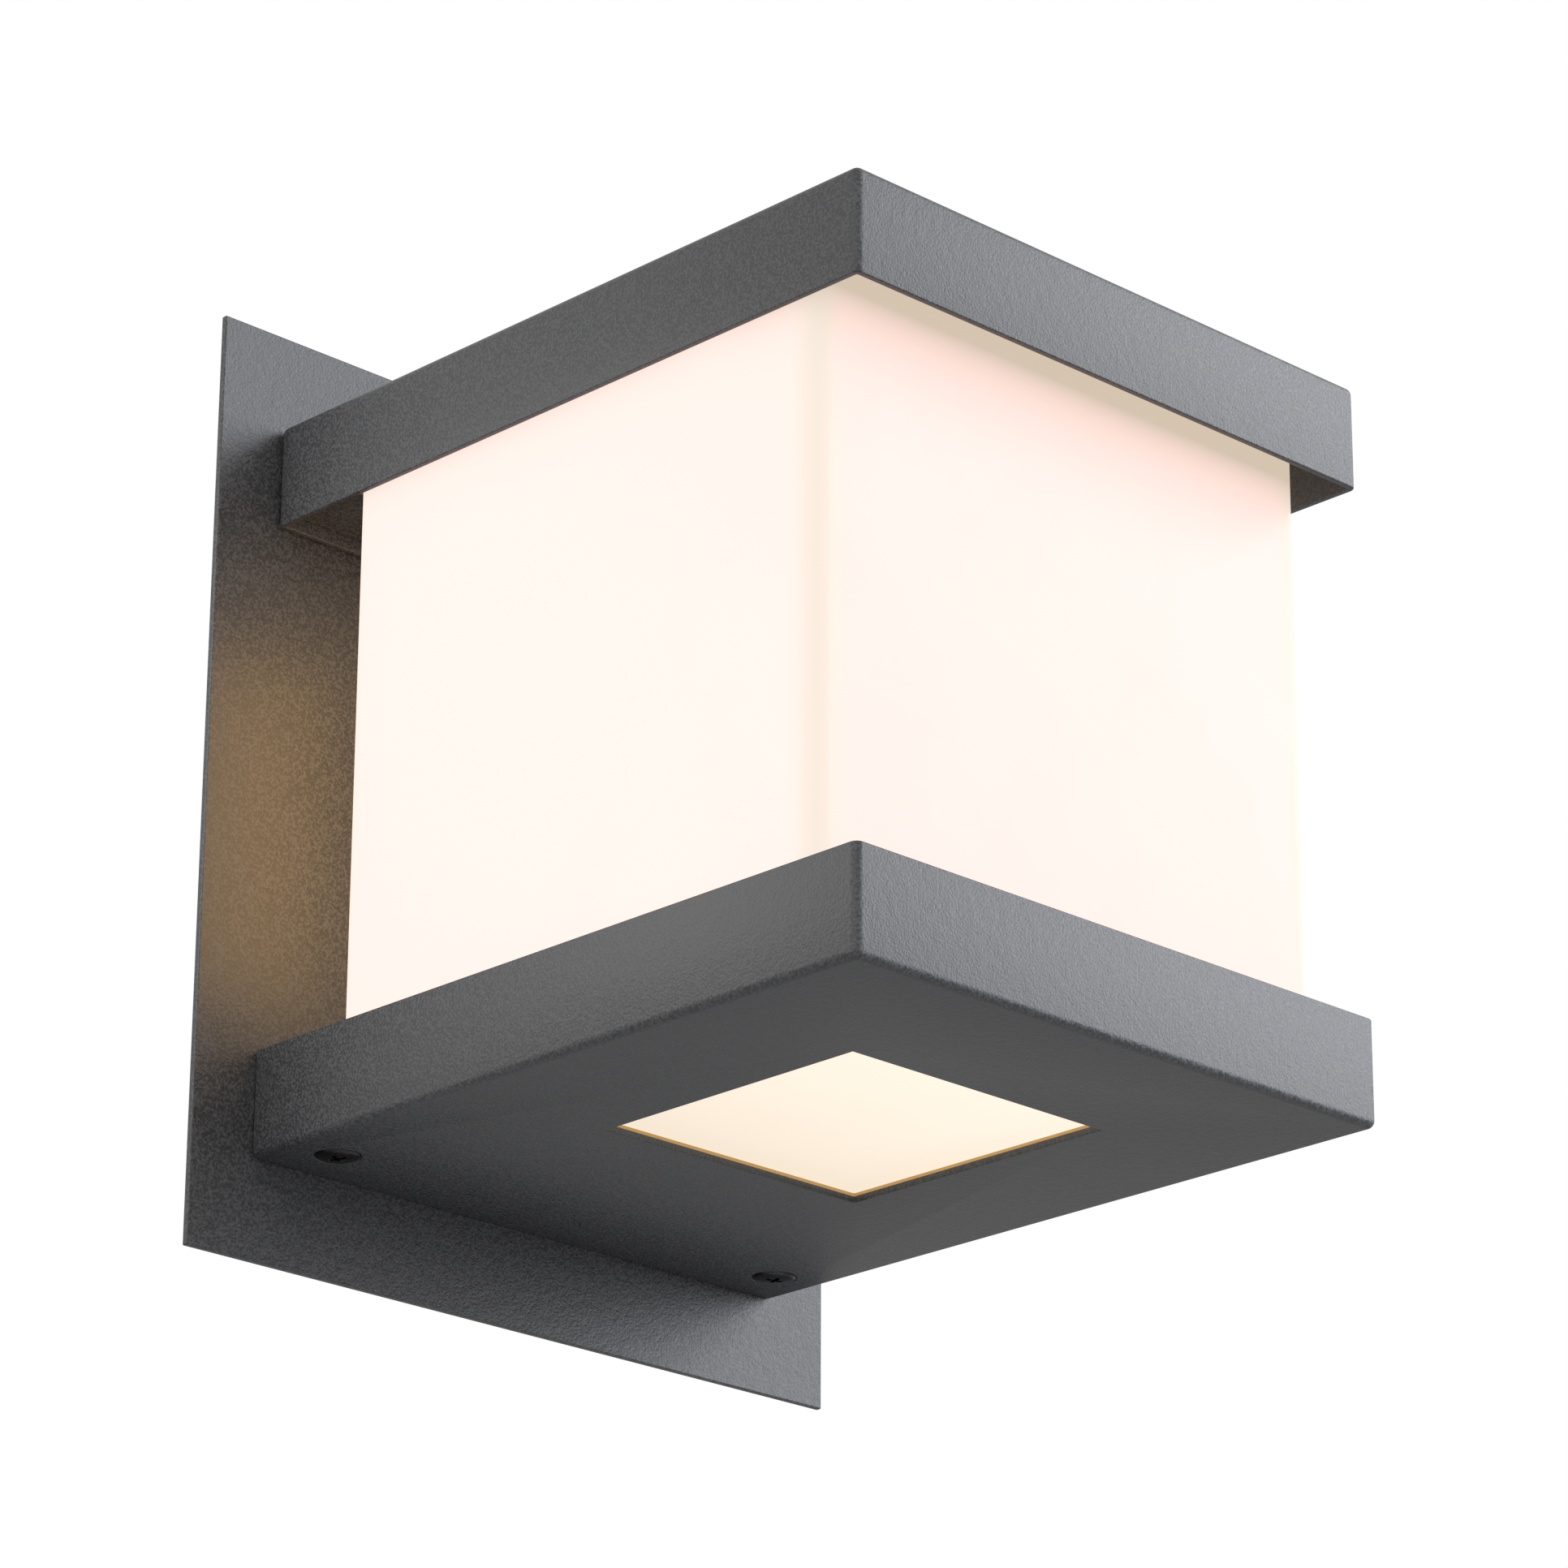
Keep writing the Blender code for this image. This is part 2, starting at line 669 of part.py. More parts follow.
def frame_ring(name, outer_low, outer_high, inset, radius, material):
    """A flat rectangular gasket, with the same inset all round."""
    ring = box(name, outer_low, outer_high, material, radius)
    inner_low = (outer_low[0] + inset, outer_low[1] + inset, outer_low[2] - CUT_PAST)
    inner_high = (outer_high[0] - inset, outer_high[1] - inset, outer_high[2] + CUT_PAST)
    cut(ring, box(name + "_opening", inner_low, inner_high, None, max(radius - inset, 0.0005)))
    return ring


def make_rim_gasket():
    overhang = WEB_GAP / 2
    frame_ring(
        "rim_gasket",
        (-DIFFUSER_HALF_WIDTH - overhang, DIFFUSER_FRONT - overhang, RIM_GASKET_BASE),
        (DIFFUSER_HALF_WIDTH + overhang, DIFFUSER_BACK + overhang, RIM_GASKET_BASE + RIM_GASKET_HEIGHT),
        DIFFUSER_WALL + 4 * overhang,
        DIFFUSER_CORNER + overhang,
        FOAM,
    )


def make_lampholder(carrier):
    shoulder = 0.006
    place = (0, LIGHT_Y, 0)
    body = turned(
        "lampholder_body",
        [
            (WIRE_HOLE_RADIUS, HOLDER_TOP),
            (HOLDER_FLANGE_RADIUS - 0.001, HOLDER_TOP),
            (HOLDER_FLANGE_RADIUS, HOLDER_TOP - 0.001),
            (HOLDER_FLANGE_RADIUS, HOLDER_TOP - shoulder),
            (HOLDER_SKIRT_RADIUS, HOLDER_TOP - shoulder - 0.0015),
            (HOLDER_SKIRT_RADIUS, HOLDER_BASE + 0.0008),
            (HOLDER_SKIRT_RADIUS - 0.0008, HOLDER_BASE),
            (HOLDER_BORE_RADIUS + 0.0008, HOLDER_BASE),
            (HOLDER_BORE_RADIUS, HOLDER_BASE + 0.0008),
            (HOLDER_BORE_RADIUS, HOLDER_CEILING),
            (WIRE_HOLE_RADIUS, HOLDER_CEILING),
        ],
        PORCELAIN,
        place,
        steps=32,
        closed=True,
    )
    shell_inner = THREAD_RADIUS + SHELL_GAP
    shell_outer = shell_inner + HOLDER_SHELL_WALL
    shell_top, shell_base = HOLDER_CEILING - 0.004, HOLDER_BASE + 0.0025
    turned(
        "lampholder_shell",
        [
            (shell_inner, shell_top),
            (shell_outer, shell_top),
            (shell_outer, shell_base),
            (shell_inner, shell_base),
        ],
        BRASS,
        place,
        steps=32,
        closed=True,
    )
    # A flat spring leaf across the top of the bore
    half_leaf = HOLDER_BORE_RADIUS - 0.0035
    leaf_half_width = 0.0035
    box(
        "lampholder_contact",
        (-leaf_half_width, LIGHT_Y - half_leaf, CONTACT_UNDERSIDE),
        (leaf_half_width, LIGHT_Y + half_leaf, CONTACT_UNDERSIDE + CONTACT_SHEET),
        BRASS,
    )
    screw_radius, head_radius, head_height, bite = 0.00125, 0.0028, 0.0018, 0.005
    seat = CARRIER_TOP + REST_GAP
    upside_down = (math.pi, 0, 0)
    for side, sign in SIDES:
        x = sign * HOLDER_SCREW_X
        shank = seat - (HOLDER_TOP - bite)
        bolt(
            f"lampholder_screw_{side}",
            screw_radius,
            head_radius,
            head_height,
            shank,
            ZINC,
            (x, LIGHT_Y, seat),
            upside_down,
        )
        hole = cylinder(
            f"lampholder_screw_hole_{side}",
            screw_radius + HOLE_GAP,
            HOLDER_TOP - bite - HOLE_GAP,
            CARRIER_TOP + CUT_PAST,
            None,
            (x, LIGHT_Y, 0),
            sides=16,
        )
        cut(body, hole)
        cut(carrier, hole)


def lamp_cap_profile(top, bottom):
    """The lamp's thin screw cap, open below: its rolled thread as rings, from the top edge down."""
    root = THREAD_RADIUS - THREAD_DEPTH
    shoulder = 0.0025
    profile = [(0, top), (LAMP_CAP_TOP_RADIUS, top), (root, top - shoulder)]
    rings = int((top - bottom - 2 * shoulder) / THREAD_PITCH)
    first = top - shoulder
    for ring in range(rings):
        base = first - ring * THREAD_PITCH
        profile += [
            (root, base - THREAD_PITCH * 0.2),
            (THREAD_RADIUS, base - THREAD_PITCH * 0.45),
            (THREAD_RADIUS, base - THREAD_PITCH * 0.65),
            (root, base - THREAD_PITCH * 0.95),
        ]
    bore = root - LAMP_CAP_WALL
    inner_top = top - shoulder - LAMP_CAP_WALL
    profile += [(root, bottom), (bore, bottom), (bore, inner_top), (0, inner_top)]
    return profile


def make_lamp():
    """An LED lamp, base up. Its screw thread is worked as rings that clear the shell."""
    place = (0, LIGHT_Y, 0)
    tip_height, insulator_height = 0.0018, 0.003
    tip_base = LAMP_TOP - tip_height
    contact = turned(
        "bulb_contact",
        [(0, LAMP_TOP), (0.0025, LAMP_TOP - 0.0002), (0.0042, LAMP_TOP - 0.0011), (0.0042, tip_base), (0, tip_base)],
        ZINC,
        place,
    )
    insulator_top = tip_base - REST_GAP
    insulator_base = insulator_top - insulator_height
    insulator = turned(
        "bulb_insulator",
        [
            (0, insulator_top),
            (LAMP_CAP_TOP_RADIUS / 2, insulator_top),
            (LAMP_CAP_TOP_RADIUS, insulator_base),
            (0, insulator_base),
        ],
        BLACK_GLASS,
        place,
    )
    cap_top = insulator_base - REST_GAP
    cap_base = cap_top - LAMP_CAP_LENGTH
    screw_cap = turned("bulb_cap", lamp_cap_profile(cap_top, cap_base), NICKEL, place, steps=24)

    housing_top = cap_base - REST_GAP
    dome_centre = LAMP_BOTTOM + LAMP_RADIUS
    housing_base = dome_centre + LAMP_RADIUS * 0.2
    drop = housing_top - housing_base
    collar = THREAD_RADIUS + 0.0006
    belly = LAMP_RADIUS - 0.0016
    shape = [(0.0, 0.0), (0.1, 0.05), (0.35, 0.36), (0.62, 0.72), (0.85, 0.95), (1.0, 1.0)]
    skin = [(collar + (belly - collar) * out, housing_top - drop * down) for down, out in shape]
    lining = [(radius - HOUSING_WALL, z) for radius, z in skin[:0:-1]]
    housing = turned(
        "bulb_housing",
        [(0, housing_top)] + skin + lining + [(0, skin[1][1])],
        NYLON,
        place,
        steps=32,
    )
    board_base = housing_base + REST_GAP
    board_radius = belly - HOUSING_WALL - 4 * REST_GAP
    board = cylinder("led_board", board_radius, board_base, board_base + LED_BOARD_SHEET, ALUMINIUM, place, sides=32)

    rim = housing_base - REST_GAP
    steps = 8
    start = math.asin((rim - dome_centre) / LAMP_RADIUS)
    angles = [start + (-math.pi / 2 - start) * i / steps for i in range(steps + 1)]
    outer = [(LAMP_RADIUS * math.cos(a), dome_centre + LAMP_RADIUS * math.sin(a)) for a in angles[:-1]]
    inner_radius = LAMP_RADIUS - DOME_WALL
    inner_start = math.asin((rim - dome_centre) / inner_radius)
    inner_angles = [inner_start + (-math.pi / 2 - inner_start) * i / steps for i in range(steps + 1)]
    inner = [
        (inner_radius * math.cos(a), dome_centre + inner_radius * math.sin(a)) for a in inner_angles[:-1]
    ]
    dome = turned(
        "bulb_dome",
        [(0, dome_centre - inner_radius)] + inner[::-1] + outer + [(0, LAMP_BOTTOM)],
        OPAL,
        place,
        steps=32,
    )
    carry(axis_empty("bulb_axis", (0, LIGHT_Y, LAMP_TOP)), contact, insulator, screw_cap, housing, board, dome)


def make_terminal_block(earth_lead_y):
    """Three poles on the carrier's shelf, with their leads over the carrier to the lampholder."""
    base = SHELF_TOP + REST_GAP
    top = base + BLOCK_HEIGHT
    half_width = BLOCK_PITCH * len(BLOCK_POLES) / 2
    back, front = CHAMBER_Y + BLOCK_DEPTH / 2, CHAMBER_Y - BLOCK_DEPTH / 2
    block = box("terminal_block", (-half_width, front, base), (half_width, back, top), NYLON)
    pole_x = [BLOCK_PITCH * (i - 1) for i in range(len(BLOCK_POLES))]
    wire_y, screw_y = front + BLOCK_DEPTH * 0.27, back - BLOCK_DEPTH * 0.27
    screw_radius = 0.0018
    pocket = 0.005
    for pole, x in zip(BLOCK_POLES, pole_x):
        screw_pocket = cylinder(
            f"terminal_pocket_{pole}",
            screw_radius + HOLE_GAP,
            top - pocket,
            top + CUT_PAST,
            None,
            (x, screw_y, 0),
            sides=16,
        )
        wire_pocket = cylinder(
            f"terminal_wire_hole_{pole}",
            LEAD_RADIUS + HOLE_GAP,
            top - pocket,
            top + CUT_PAST,
            None,
            (x, wire_y, 0),
            sides=16,
        )
        cut(block, screw_pocket)
        cut(block, wire_pocket)
        head = cylinder(
            f"terminal_screw_{pole}",
            screw_radius,
            top - pocket + REST_GAP,
            top - 0.0012,
            BRASS,
            (x, screw_y, 0),
            sides=16,
        )
        slot = box(
            f"terminal_screw_slot_{pole}",
            (x - 0.003, screw_y - 0.0003, top - 0.0019),
            (x + 0.003, screw_y + 0.0003, top),
        )
        cut(head, slot)

    wire_end = top - pocket + REST_GAP * 2
    run_z = CEILING - LEAD_RADIUS - 0.001
    drop_z = HOLDER_CEILING + 0.003
    for pole, x, target, material in (
        ("live", pole_x[0], -0.003, BROWN),
        ("neutral", pole_x[1], 0.003, BLUE),
    ):
        lead(
            f"lead_{pole}",
            [
                (x, wire_y, wire_end),
                (x, wire_y, top + 0.001),
                (x, wire_y - 0.0025, run_z - 0.0004),
                (x, wire_y - 0.009, run_z),
                (x * 0.7 + target * 0.3, LIGHT_Y * 0.45, run_z),
                (target, LIGHT_Y + 0.012, run_z),
                (target, LIGHT_Y + 0.003, run_z - 0.0006),
                (target, LIGHT_Y, run_z - 0.0035),
                (target, LIGHT_Y, drop_z),
            ],
            material,
        )
    tag_end = EARTH_STUD_X - EARTH_TAIL - LEAD_RADIUS
    x = pole_x[2]
    lead(
        "lead_earth",
        [
            (x, wire_y, wire_end),
            (x, wire_y, top + 0.001),
            (x + 0.0012, wire_y + 0.0012, top + 0.0035),
            (x + 0.0052, wire_y + 0.005, top + 0.0015),
            (tag_end - 0.0025, earth_lead_y - 0.003, CHAMBER_Z + 0.0015),
            (tag_end, earth_lead_y - 0.0003, CHAMBER_Z),
        ],
        GREEN,
    )


def make_tray_brackets():
    half_sheet = BRACKET_SHEET / 2
    foot_z = FOOT_UNDERSIDE + half_sheet
    leg_y = BODY_BACK - half_sheet
    for side, sign in SIDES:
        x = sign * SCREW_X
        bracket = folded_sheet(
            f"tray_bracket_{side}",
            [
                (PLATE_FRONT - BRACKET_REACH, foot_z),
                (leg_y, foot_z),
                (leg_y, FOOT_UNDERSIDE + BRACKET_LEG),
            ],
            x - BRACKET_WIDTH / 2,
            x + BRACKET_WIDTH / 2,
            BRACKET_SHEET,
            FOLD_RADIUS,
            ZINC,
        )
        place = (x, SCREW_Y, 0)
        cut(
            bracket,
            cylinder(
                f"bracket_screw_hole_{side}",
                SCREW_RADIUS + HOLE_GAP,
                FOOT_UNDERSIDE - CUT_PAST,
                FOOT_TOP + CUT_PAST,
                None,
                place,
                sides=16,
            ),
        )
        cut(
            bracket,
            hole_through_wall(
                f"bracket_stud_hole_{side}",
                STUD_RADIUS + HOLE_GAP,
                x,
                BRACKET_STUD_Z,
                -BODY_BACK + BRACKET_SHEET + CUT_PAST,
            ),
        )
        stud(f"bracket_stud_{side}", x, BRACKET_STUD_Z)
        hex_nut(
            f"bracket_nut_{side}",
            NUT_ACROSS,
            NUT_HEIGHT,
            STUD_RADIUS + REST_GAP,
            ZINC,
            (x, BODY_BACK - BRACKET_SHEET - REST_GAP, BRACKET_STUD_Z),
            FACING_ROOM,
        )
        hex_nut(
            f"tray_nut_{side}",
            TRAY_NUT_ACROSS,
            TRAY_NUT_HEIGHT,
            SCREW_RADIUS + REST_GAP,
            ZINC,
            (x, SCREW_Y, TRAY_NUT_BASE),
        )
        turned(
            f"tray_sleeve_{side}",
            [
                (SLEEVE_BORE_RADIUS, FOOT_UNDERSIDE - REST_GAP),
                (SLEEVE_RADIUS, FOOT_UNDERSIDE - REST_GAP),
                (SLEEVE_RADIUS, TRAY_FLOOR + REST_GAP),
                (SLEEVE_BORE_RADIUS, TRAY_FLOOR + REST_GAP),
            ],
            ZINC,
            place,
            closed=True,
        )


def make_tray():
    tray = open_box(
        "bottom_tray",
        (-BODY_WIDTH / 2, BODY_FRONT, BOTTOM),
        (BODY_WIDTH / 2, BODY_BACK, TRAY_EDGE),
        [(0, 0, 1), (0, 1, 0)],
        POWDER_COAT,
    )
    rounded(tray, FOLD_RADIUS, segments=3, name="folds")
    thickened(tray, BODY_SHEET)
    rounded(tray, LIP_EDGE, segments=1, name="lip")
    half_window = WINDOW_SIZE / 2
    cut(
        tray,
        box(
            "window_opening",
            (-half_window, WINDOW_FRONT, BOTTOM - CUT_PAST),
            (half_window, WINDOW_BACK, TRAY_FLOOR + CUT_PAST),
        ),
    )
    carried = [tray]
    for side, sign in SIDES:
        x = sign * SCREW_X
        # The countersink clears the head's cone by HOLE_GAP all the way up
        mouth, neck = SCREW_HEAD_RADIUS + HOLE_GAP, SCREW_RADIUS + HOLE_GAP
        low, high = BOTTOM - CUT_PAST, TRAY_FLOOR + CUT_PAST
        cone_end = min(BOTTOM + mouth - neck, high)
        cone_top = max(mouth - (high - BOTTOM), neck)
        profile = [(0, high), (cone_top, high)]
        if cone_end < high:
            profile.append((neck, cone_end))
        profile += [(mouth, BOTTOM), (mouth, low), (0, low)]
        cut(tray, turned(f"countersink_{side}", profile, None, (x, SCREW_Y, 0)))
        carried.append(make_tray_screw(side, x))
    carried += make_diffuser()
    carry(axis_empty("tray_slide", (0, LIGHT_Y, BOTTOM)), *carried)


def make_tray_screw(side, x):
    """A raised countersunk screw with a cross recess, kept in the tray by a ring on its shank."""
    place = (x, SCREW_Y, 0)
    rim = BOTTOM + REST_GAP / 3
    neck = rim + SCREW_HEAD_RADIUS - SCREW_RADIUS
    chamfer = 0.0005
    lens = [
        (SCREW_HEAD_RADIUS * math.sin(a), rim - SCREW_HEAD_RISE * math.cos(a))
        for a in (math.radians(72), math.radians(50), math.radians(28))
    ]
    screw = turned(
        f"tray_screw_{side}",
        [
            (0, SCREW_TIP),
            (SCREW_RADIUS - chamfer, SCREW_TIP),
            (SCREW_RADIUS, SCREW_TIP - chamfer),
            (SCREW_RADIUS, neck),
            (SCREW_HEAD_RADIUS, rim),
        ]
        + lens
        + [(0, rim - SCREW_HEAD_RISE)],
        BLACK_ZINC,
        place,
        steps=32,
    )
    arm, blade, depth = 0.0026, 0.00055, 0.002
    below_head = 0.0003
    quarter_turn, clocking = 90, 20
    for angle in (0, quarter_turn):
        bm = cube_between((-arm, -blade, 0), (arm, blade, depth + SCREW_HEAD_RISE))
        for vert in bm.verts:
            if vert.co.z > depth / 2:
                vert.co.x *= 0.45
        recess = add(f"recess_{side}_{angle}", mesh_from(bm, f"recess_{side}_{angle}"))
        recess.location = (x, SCREW_Y, rim - SCREW_HEAD_RISE - below_head)
        recess.rotation_euler = (0, 0, math.radians(angle + clocking))
        cut(screw, recess)
    ring = turned(
        f"screw_ring_{side}",
        [
            (SCREW_RADIUS + REST_GAP, RING_BASE + RING_HEIGHT),
            (RING_RADIUS, RING_BASE + RING_HEIGHT),
            (RING_RADIUS, RING_BASE),
            (SCREW_RADIUS + REST_GAP, RING_BASE),
        ],
        NYLON,
        place,
        closed=True,
    )
    axis = axis_empty(f"screw_{side}_axis", (x, SCREW_Y, BOTTOM))
    carry(axis, screw, ring)
    return axis


def make_diffuser():
    diffuser = open_box(
        "diffuser",
        (-DIFFUSER_HALF_WIDTH, DIFFUSER_FRONT, DIFFUSER_BASE),
        (DIFFUSER_HALF_WIDTH, DIFFUSER_BACK, DIFFUSER_RIM),
        [(0, 0, 1)],
        OPAL,
    )
    bm = bmesh.new()
    bm.from_mesh(diffuser.data)
    upright = [e for e in bm.edges if abs(e.verts[0].co.z - e.verts[1].co.z) > 0.01]
    bmesh.ops.bevel(bm, geom=upright, offset=DIFFUSER_CORNER, segments=5, profile=0.5, affect="EDGES")
    floor = [e for e in bm.edges if max(v.co.z for v in e.verts) < DIFFUSER_BASE + 1e-5]
    bmesh.ops.bevel(bm, geom=floor, offset=DIFFUSER_FLOOR_EDGE, segments=2, profile=0.5, affect="EDGES")
    bm.to_mesh(diffuser.data)
    bm.free()
    thickened(diffuser, DIFFUSER_WALL)

    setback, width = WINDOW_GASKET_SETBACK, WINDOW_GASKET_WIDTH
    reach = WINDOW_SIZE / 2 + setback + width
    base = TRAY_FLOOR + REST_GAP
    gasket = frame_ring(
        "window_gasket",
        (-reach, WINDOW_FRONT - setback - width, base),
        (reach, WINDOW_BACK + setback + width, base + WINDOW_GASKET_HEIGHT),
        width,
        0.001,
        SILICONE,
    )

    stops = []
    half_sheet = STOP_SHEET / 2
    foot_z = base + half_sheet
    for place, face, outward in (("front", DIFFUSER_FRONT, -1), ("rear", DIFFUSER_BACK, 1)):
        wall_y = face + outward * (REST_GAP + half_sheet)
        stops.append(
            folded_sheet(
                f"diffuser_stop_{place}",
                [
                    (wall_y, base + STOP_HEIGHT),
                    (wall_y, foot_z),
                    (wall_y + outward * STOP_FOOT, foot_z),
                ],
                -STOP_WIDTH / 2,
                STOP_WIDTH / 2,
                STOP_SHEET,
                STOP_SHEET,
                ZINC,
            )
        )
    return [diffuser, gasket, *stops]


make_wall_plate()
make_top_cap()
make_cable_entry()
earth_lead_y = make_earth_point()
carrier = make_carrier()
make_rim_gasket()
make_lampholder(carrier)
make_lamp()
make_terminal_block(earth_lead_y)
make_tray_brackets()
make_tray()
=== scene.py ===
# Outdoor wall lantern: a lit opal cube between a folded cap and tray, on a flat wall plate
import json
import math
import bmesh
import bpy
from mathutils import Matrix, Vector

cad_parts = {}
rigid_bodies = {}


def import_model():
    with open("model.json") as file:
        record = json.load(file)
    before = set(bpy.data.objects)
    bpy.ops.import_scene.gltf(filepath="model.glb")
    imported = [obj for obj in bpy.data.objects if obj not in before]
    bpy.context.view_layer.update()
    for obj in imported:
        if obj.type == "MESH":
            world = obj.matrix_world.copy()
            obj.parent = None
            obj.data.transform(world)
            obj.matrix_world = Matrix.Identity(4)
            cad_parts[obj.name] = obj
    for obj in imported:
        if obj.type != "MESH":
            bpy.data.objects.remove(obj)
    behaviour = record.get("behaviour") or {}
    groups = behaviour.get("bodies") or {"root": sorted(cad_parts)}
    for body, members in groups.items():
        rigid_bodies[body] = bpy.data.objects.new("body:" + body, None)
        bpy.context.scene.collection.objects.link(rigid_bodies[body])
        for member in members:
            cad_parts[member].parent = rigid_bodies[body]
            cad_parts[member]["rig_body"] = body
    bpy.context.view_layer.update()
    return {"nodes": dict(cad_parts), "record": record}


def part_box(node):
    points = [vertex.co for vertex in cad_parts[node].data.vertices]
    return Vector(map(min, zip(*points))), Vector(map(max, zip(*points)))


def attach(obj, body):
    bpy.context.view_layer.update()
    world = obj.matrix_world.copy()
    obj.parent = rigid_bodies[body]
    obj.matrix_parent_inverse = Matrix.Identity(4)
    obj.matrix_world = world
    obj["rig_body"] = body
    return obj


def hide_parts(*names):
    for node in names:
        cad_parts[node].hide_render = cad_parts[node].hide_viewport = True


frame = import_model()
nodes = frame["nodes"]
print("frame loaded:", len(nodes), "nodes")


# What materials are built from

def newMaterial(name, colour, roughness, metallic=0.0):
    material = bpy.data.materials.new(name)
    material.use_nodes = True
    shader = material.node_tree.nodes["Principled BSDF"]
    shader.inputs["Base Color"].default_value = (*colour, 1.0)
    shader.inputs["Roughness"].default_value = roughness
    shader.inputs["Metallic"].default_value = metallic
    return material, material.node_tree, shader


def objectPlace(tree, stretch=(1, 1, 1)):
    place = tree.nodes.new("ShaderNodeTexCoord")
    mapping = tree.nodes.new("ShaderNodeMapping")
    mapping.inputs["Scale"].default_value = stretch
    tree.links.new(place.outputs["Object"], mapping.inputs["Vector"])
    return mapping.outputs["Vector"]


def noise(tree, scale, detail=2.0, stretch=(1, 1, 1)):
    # Grain of about 1 / scale metres
    texture = tree.nodes.new("ShaderNodeTexNoise")
    texture.inputs["Scale"].default_value = scale
    texture.inputs["Detail"].default_value = detail
    tree.links.new(objectPlace(tree, stretch), texture.inputs["Vector"])
    return texture.outputs["Fac"]


def spread(tree, value, fromRange, toRange, smooth=False):
    ranged = tree.nodes.new("ShaderNodeMapRange")
    ranged.interpolation_type = "SMOOTHSTEP" if smooth else "LINEAR"
    ranged.inputs["From Min"].default_value, ranged.inputs["From Max"].default_value = fromRange
    ranged.inputs["To Min"].default_value, ranged.inputs["To Max"].default_value = toRange
    tree.links.new(value, ranged.inputs["Value"])
    return ranged.outputs["Result"]


def mixed(tree, factor, first, second):
    # Either colour is a socket or three numbers
    mix = tree.nodes.new("ShaderNodeMixRGB")
    tree.links.new(factor, mix.inputs["Fac"])
    for name, colour in (("Color1", first), ("Color2", second)):
        if isinstance(colour, bpy.types.NodeSocket):
            tree.links.new(colour, mix.inputs[name])
        else:
            mix.inputs[name].default_value = (*colour, 1.0)
    return mix.outputs["Color"]


def calc(tree, operation, first, second=None):
    maths = tree.nodes.new("ShaderNodeMath")
    maths.operation = operation
    for index, value in enumerate((first, second)):
        if isinstance(value, bpy.types.NodeSocket):
            tree.links.new(value, maths.inputs[index])
        elif value is not None:
            maths.inputs[index].default_value = value
    return maths.outputs["Value"]


def bumped(tree, shader, height, distance, under=None):
    bump = tree.nodes.new("ShaderNodeBump")
    bump.inputs["Distance"].default_value = distance
    tree.links.new(height, bump.inputs["Height"])
    if under is not None:
        tree.links.new(under, bump.inputs["Normal"])
    tree.links.new(bump.outputs["Normal"], shader.inputs["Normal"])
    return bump.outputs["Normal"]


# The finishes

coat = {
    "dark": (0.024, 0.0245, 0.026),
    "light": (0.062, 0.063, 0.066),
    "grain": 1750,  # grains to the metre
    "grainRelief": 0.00013,
    "ripple": 420,
    "rippleRelief": 0.00008,
    "speck": (0.40, 0.64),  # the stretch of the grain over which dark turns to light
    "cloud": 14,
    "cloudShare": 0.16,
    "roughness": (0.36, 0.56),
}
middling = (0.3, 0.7)  # the stretch that most of a noise's values lie in
unit = (0, 1)


def makePowderCoat():
    # Anthracite powder with a fine sandy texture over a slight ripple
    material, tree, shader = newMaterial("powderCoat", coat["dark"], 0.5)
    grain = noise(tree, coat["grain"], 2.5)
    ripple = noise(tree, coat["ripple"], 1.0)
    cloud = noise(tree, coat["cloud"], 3.0)
    speck = spread(tree, grain, coat["speck"], unit, smooth=True)
    shade = mixed(tree, speck, coat["dark"], coat["light"])
    worn = spread(tree, cloud, middling, (0.0, coat["cloudShare"]))
    tree.links.new(mixed(tree, worn, shade, coat["light"]), shader.inputs["Base Color"])
    tree.links.new(spread(tree, grain, middling, coat["roughness"]), shader.inputs["Roughness"])
    under = bumped(tree, shader, ripple, coat["rippleRelief"])
    bumped(tree, shader, grain, coat["grainRelief"], under)
    return material


opal = {
    "body": (0.060, 0.055, 0.050),
    "lit": (1.08, 0.85, 0.79),  # emission in the open middle of a side wall
    "litFront": (1.08, 0.79, 0.73),  # and of the front wall, which the key light adds to
    "shaded": (0.66, 0.545, 0.43),  # painted shade: emission at the deepest place in view under the cap
    # painted shade along the front corners
    "corner": (0.90, 0.79, 0.69),
    "rear": (1.06, 0.80, 0.62),  # painted warmer glow on the wall that faces the plate, which throws amber light on it
    # the floor seen through the window, with painted shade darkening it toward the back
    "window": (1.04, 0.89, 0.75),
    "windowFarShade": (0.87, 0.76, 0.62),
    "rimDepth": 0.0115,  # rim hidden in the cap
    "viewDepth": 0.004,  # how far above the cap's edge a wall is seen
    "fade": 0.005,  # the shading falls to about a third over this depth
    "sideShare": 0.35,  # of the shading, on the walls that lie close inside the cap
    "frontReach": 0.035,
    "cornerShadeRange": (0.001, 0.009),  # how far round from a front corner the painted shade reaches
    "frontRange": (0.0, 0.004),
    "floorRange": (0.0012, 0.0018),  # up from the underside, to where the walls' glow begins
    "rearRange": (-0.003, -0.001),
    "windowInset": 0.02,
    "haze": 45,
    "ripple": 90,
    "rippleRelief": 0.00008,
    "gloss": 0.08,
    "roughness": (0.34, 0.46),
}


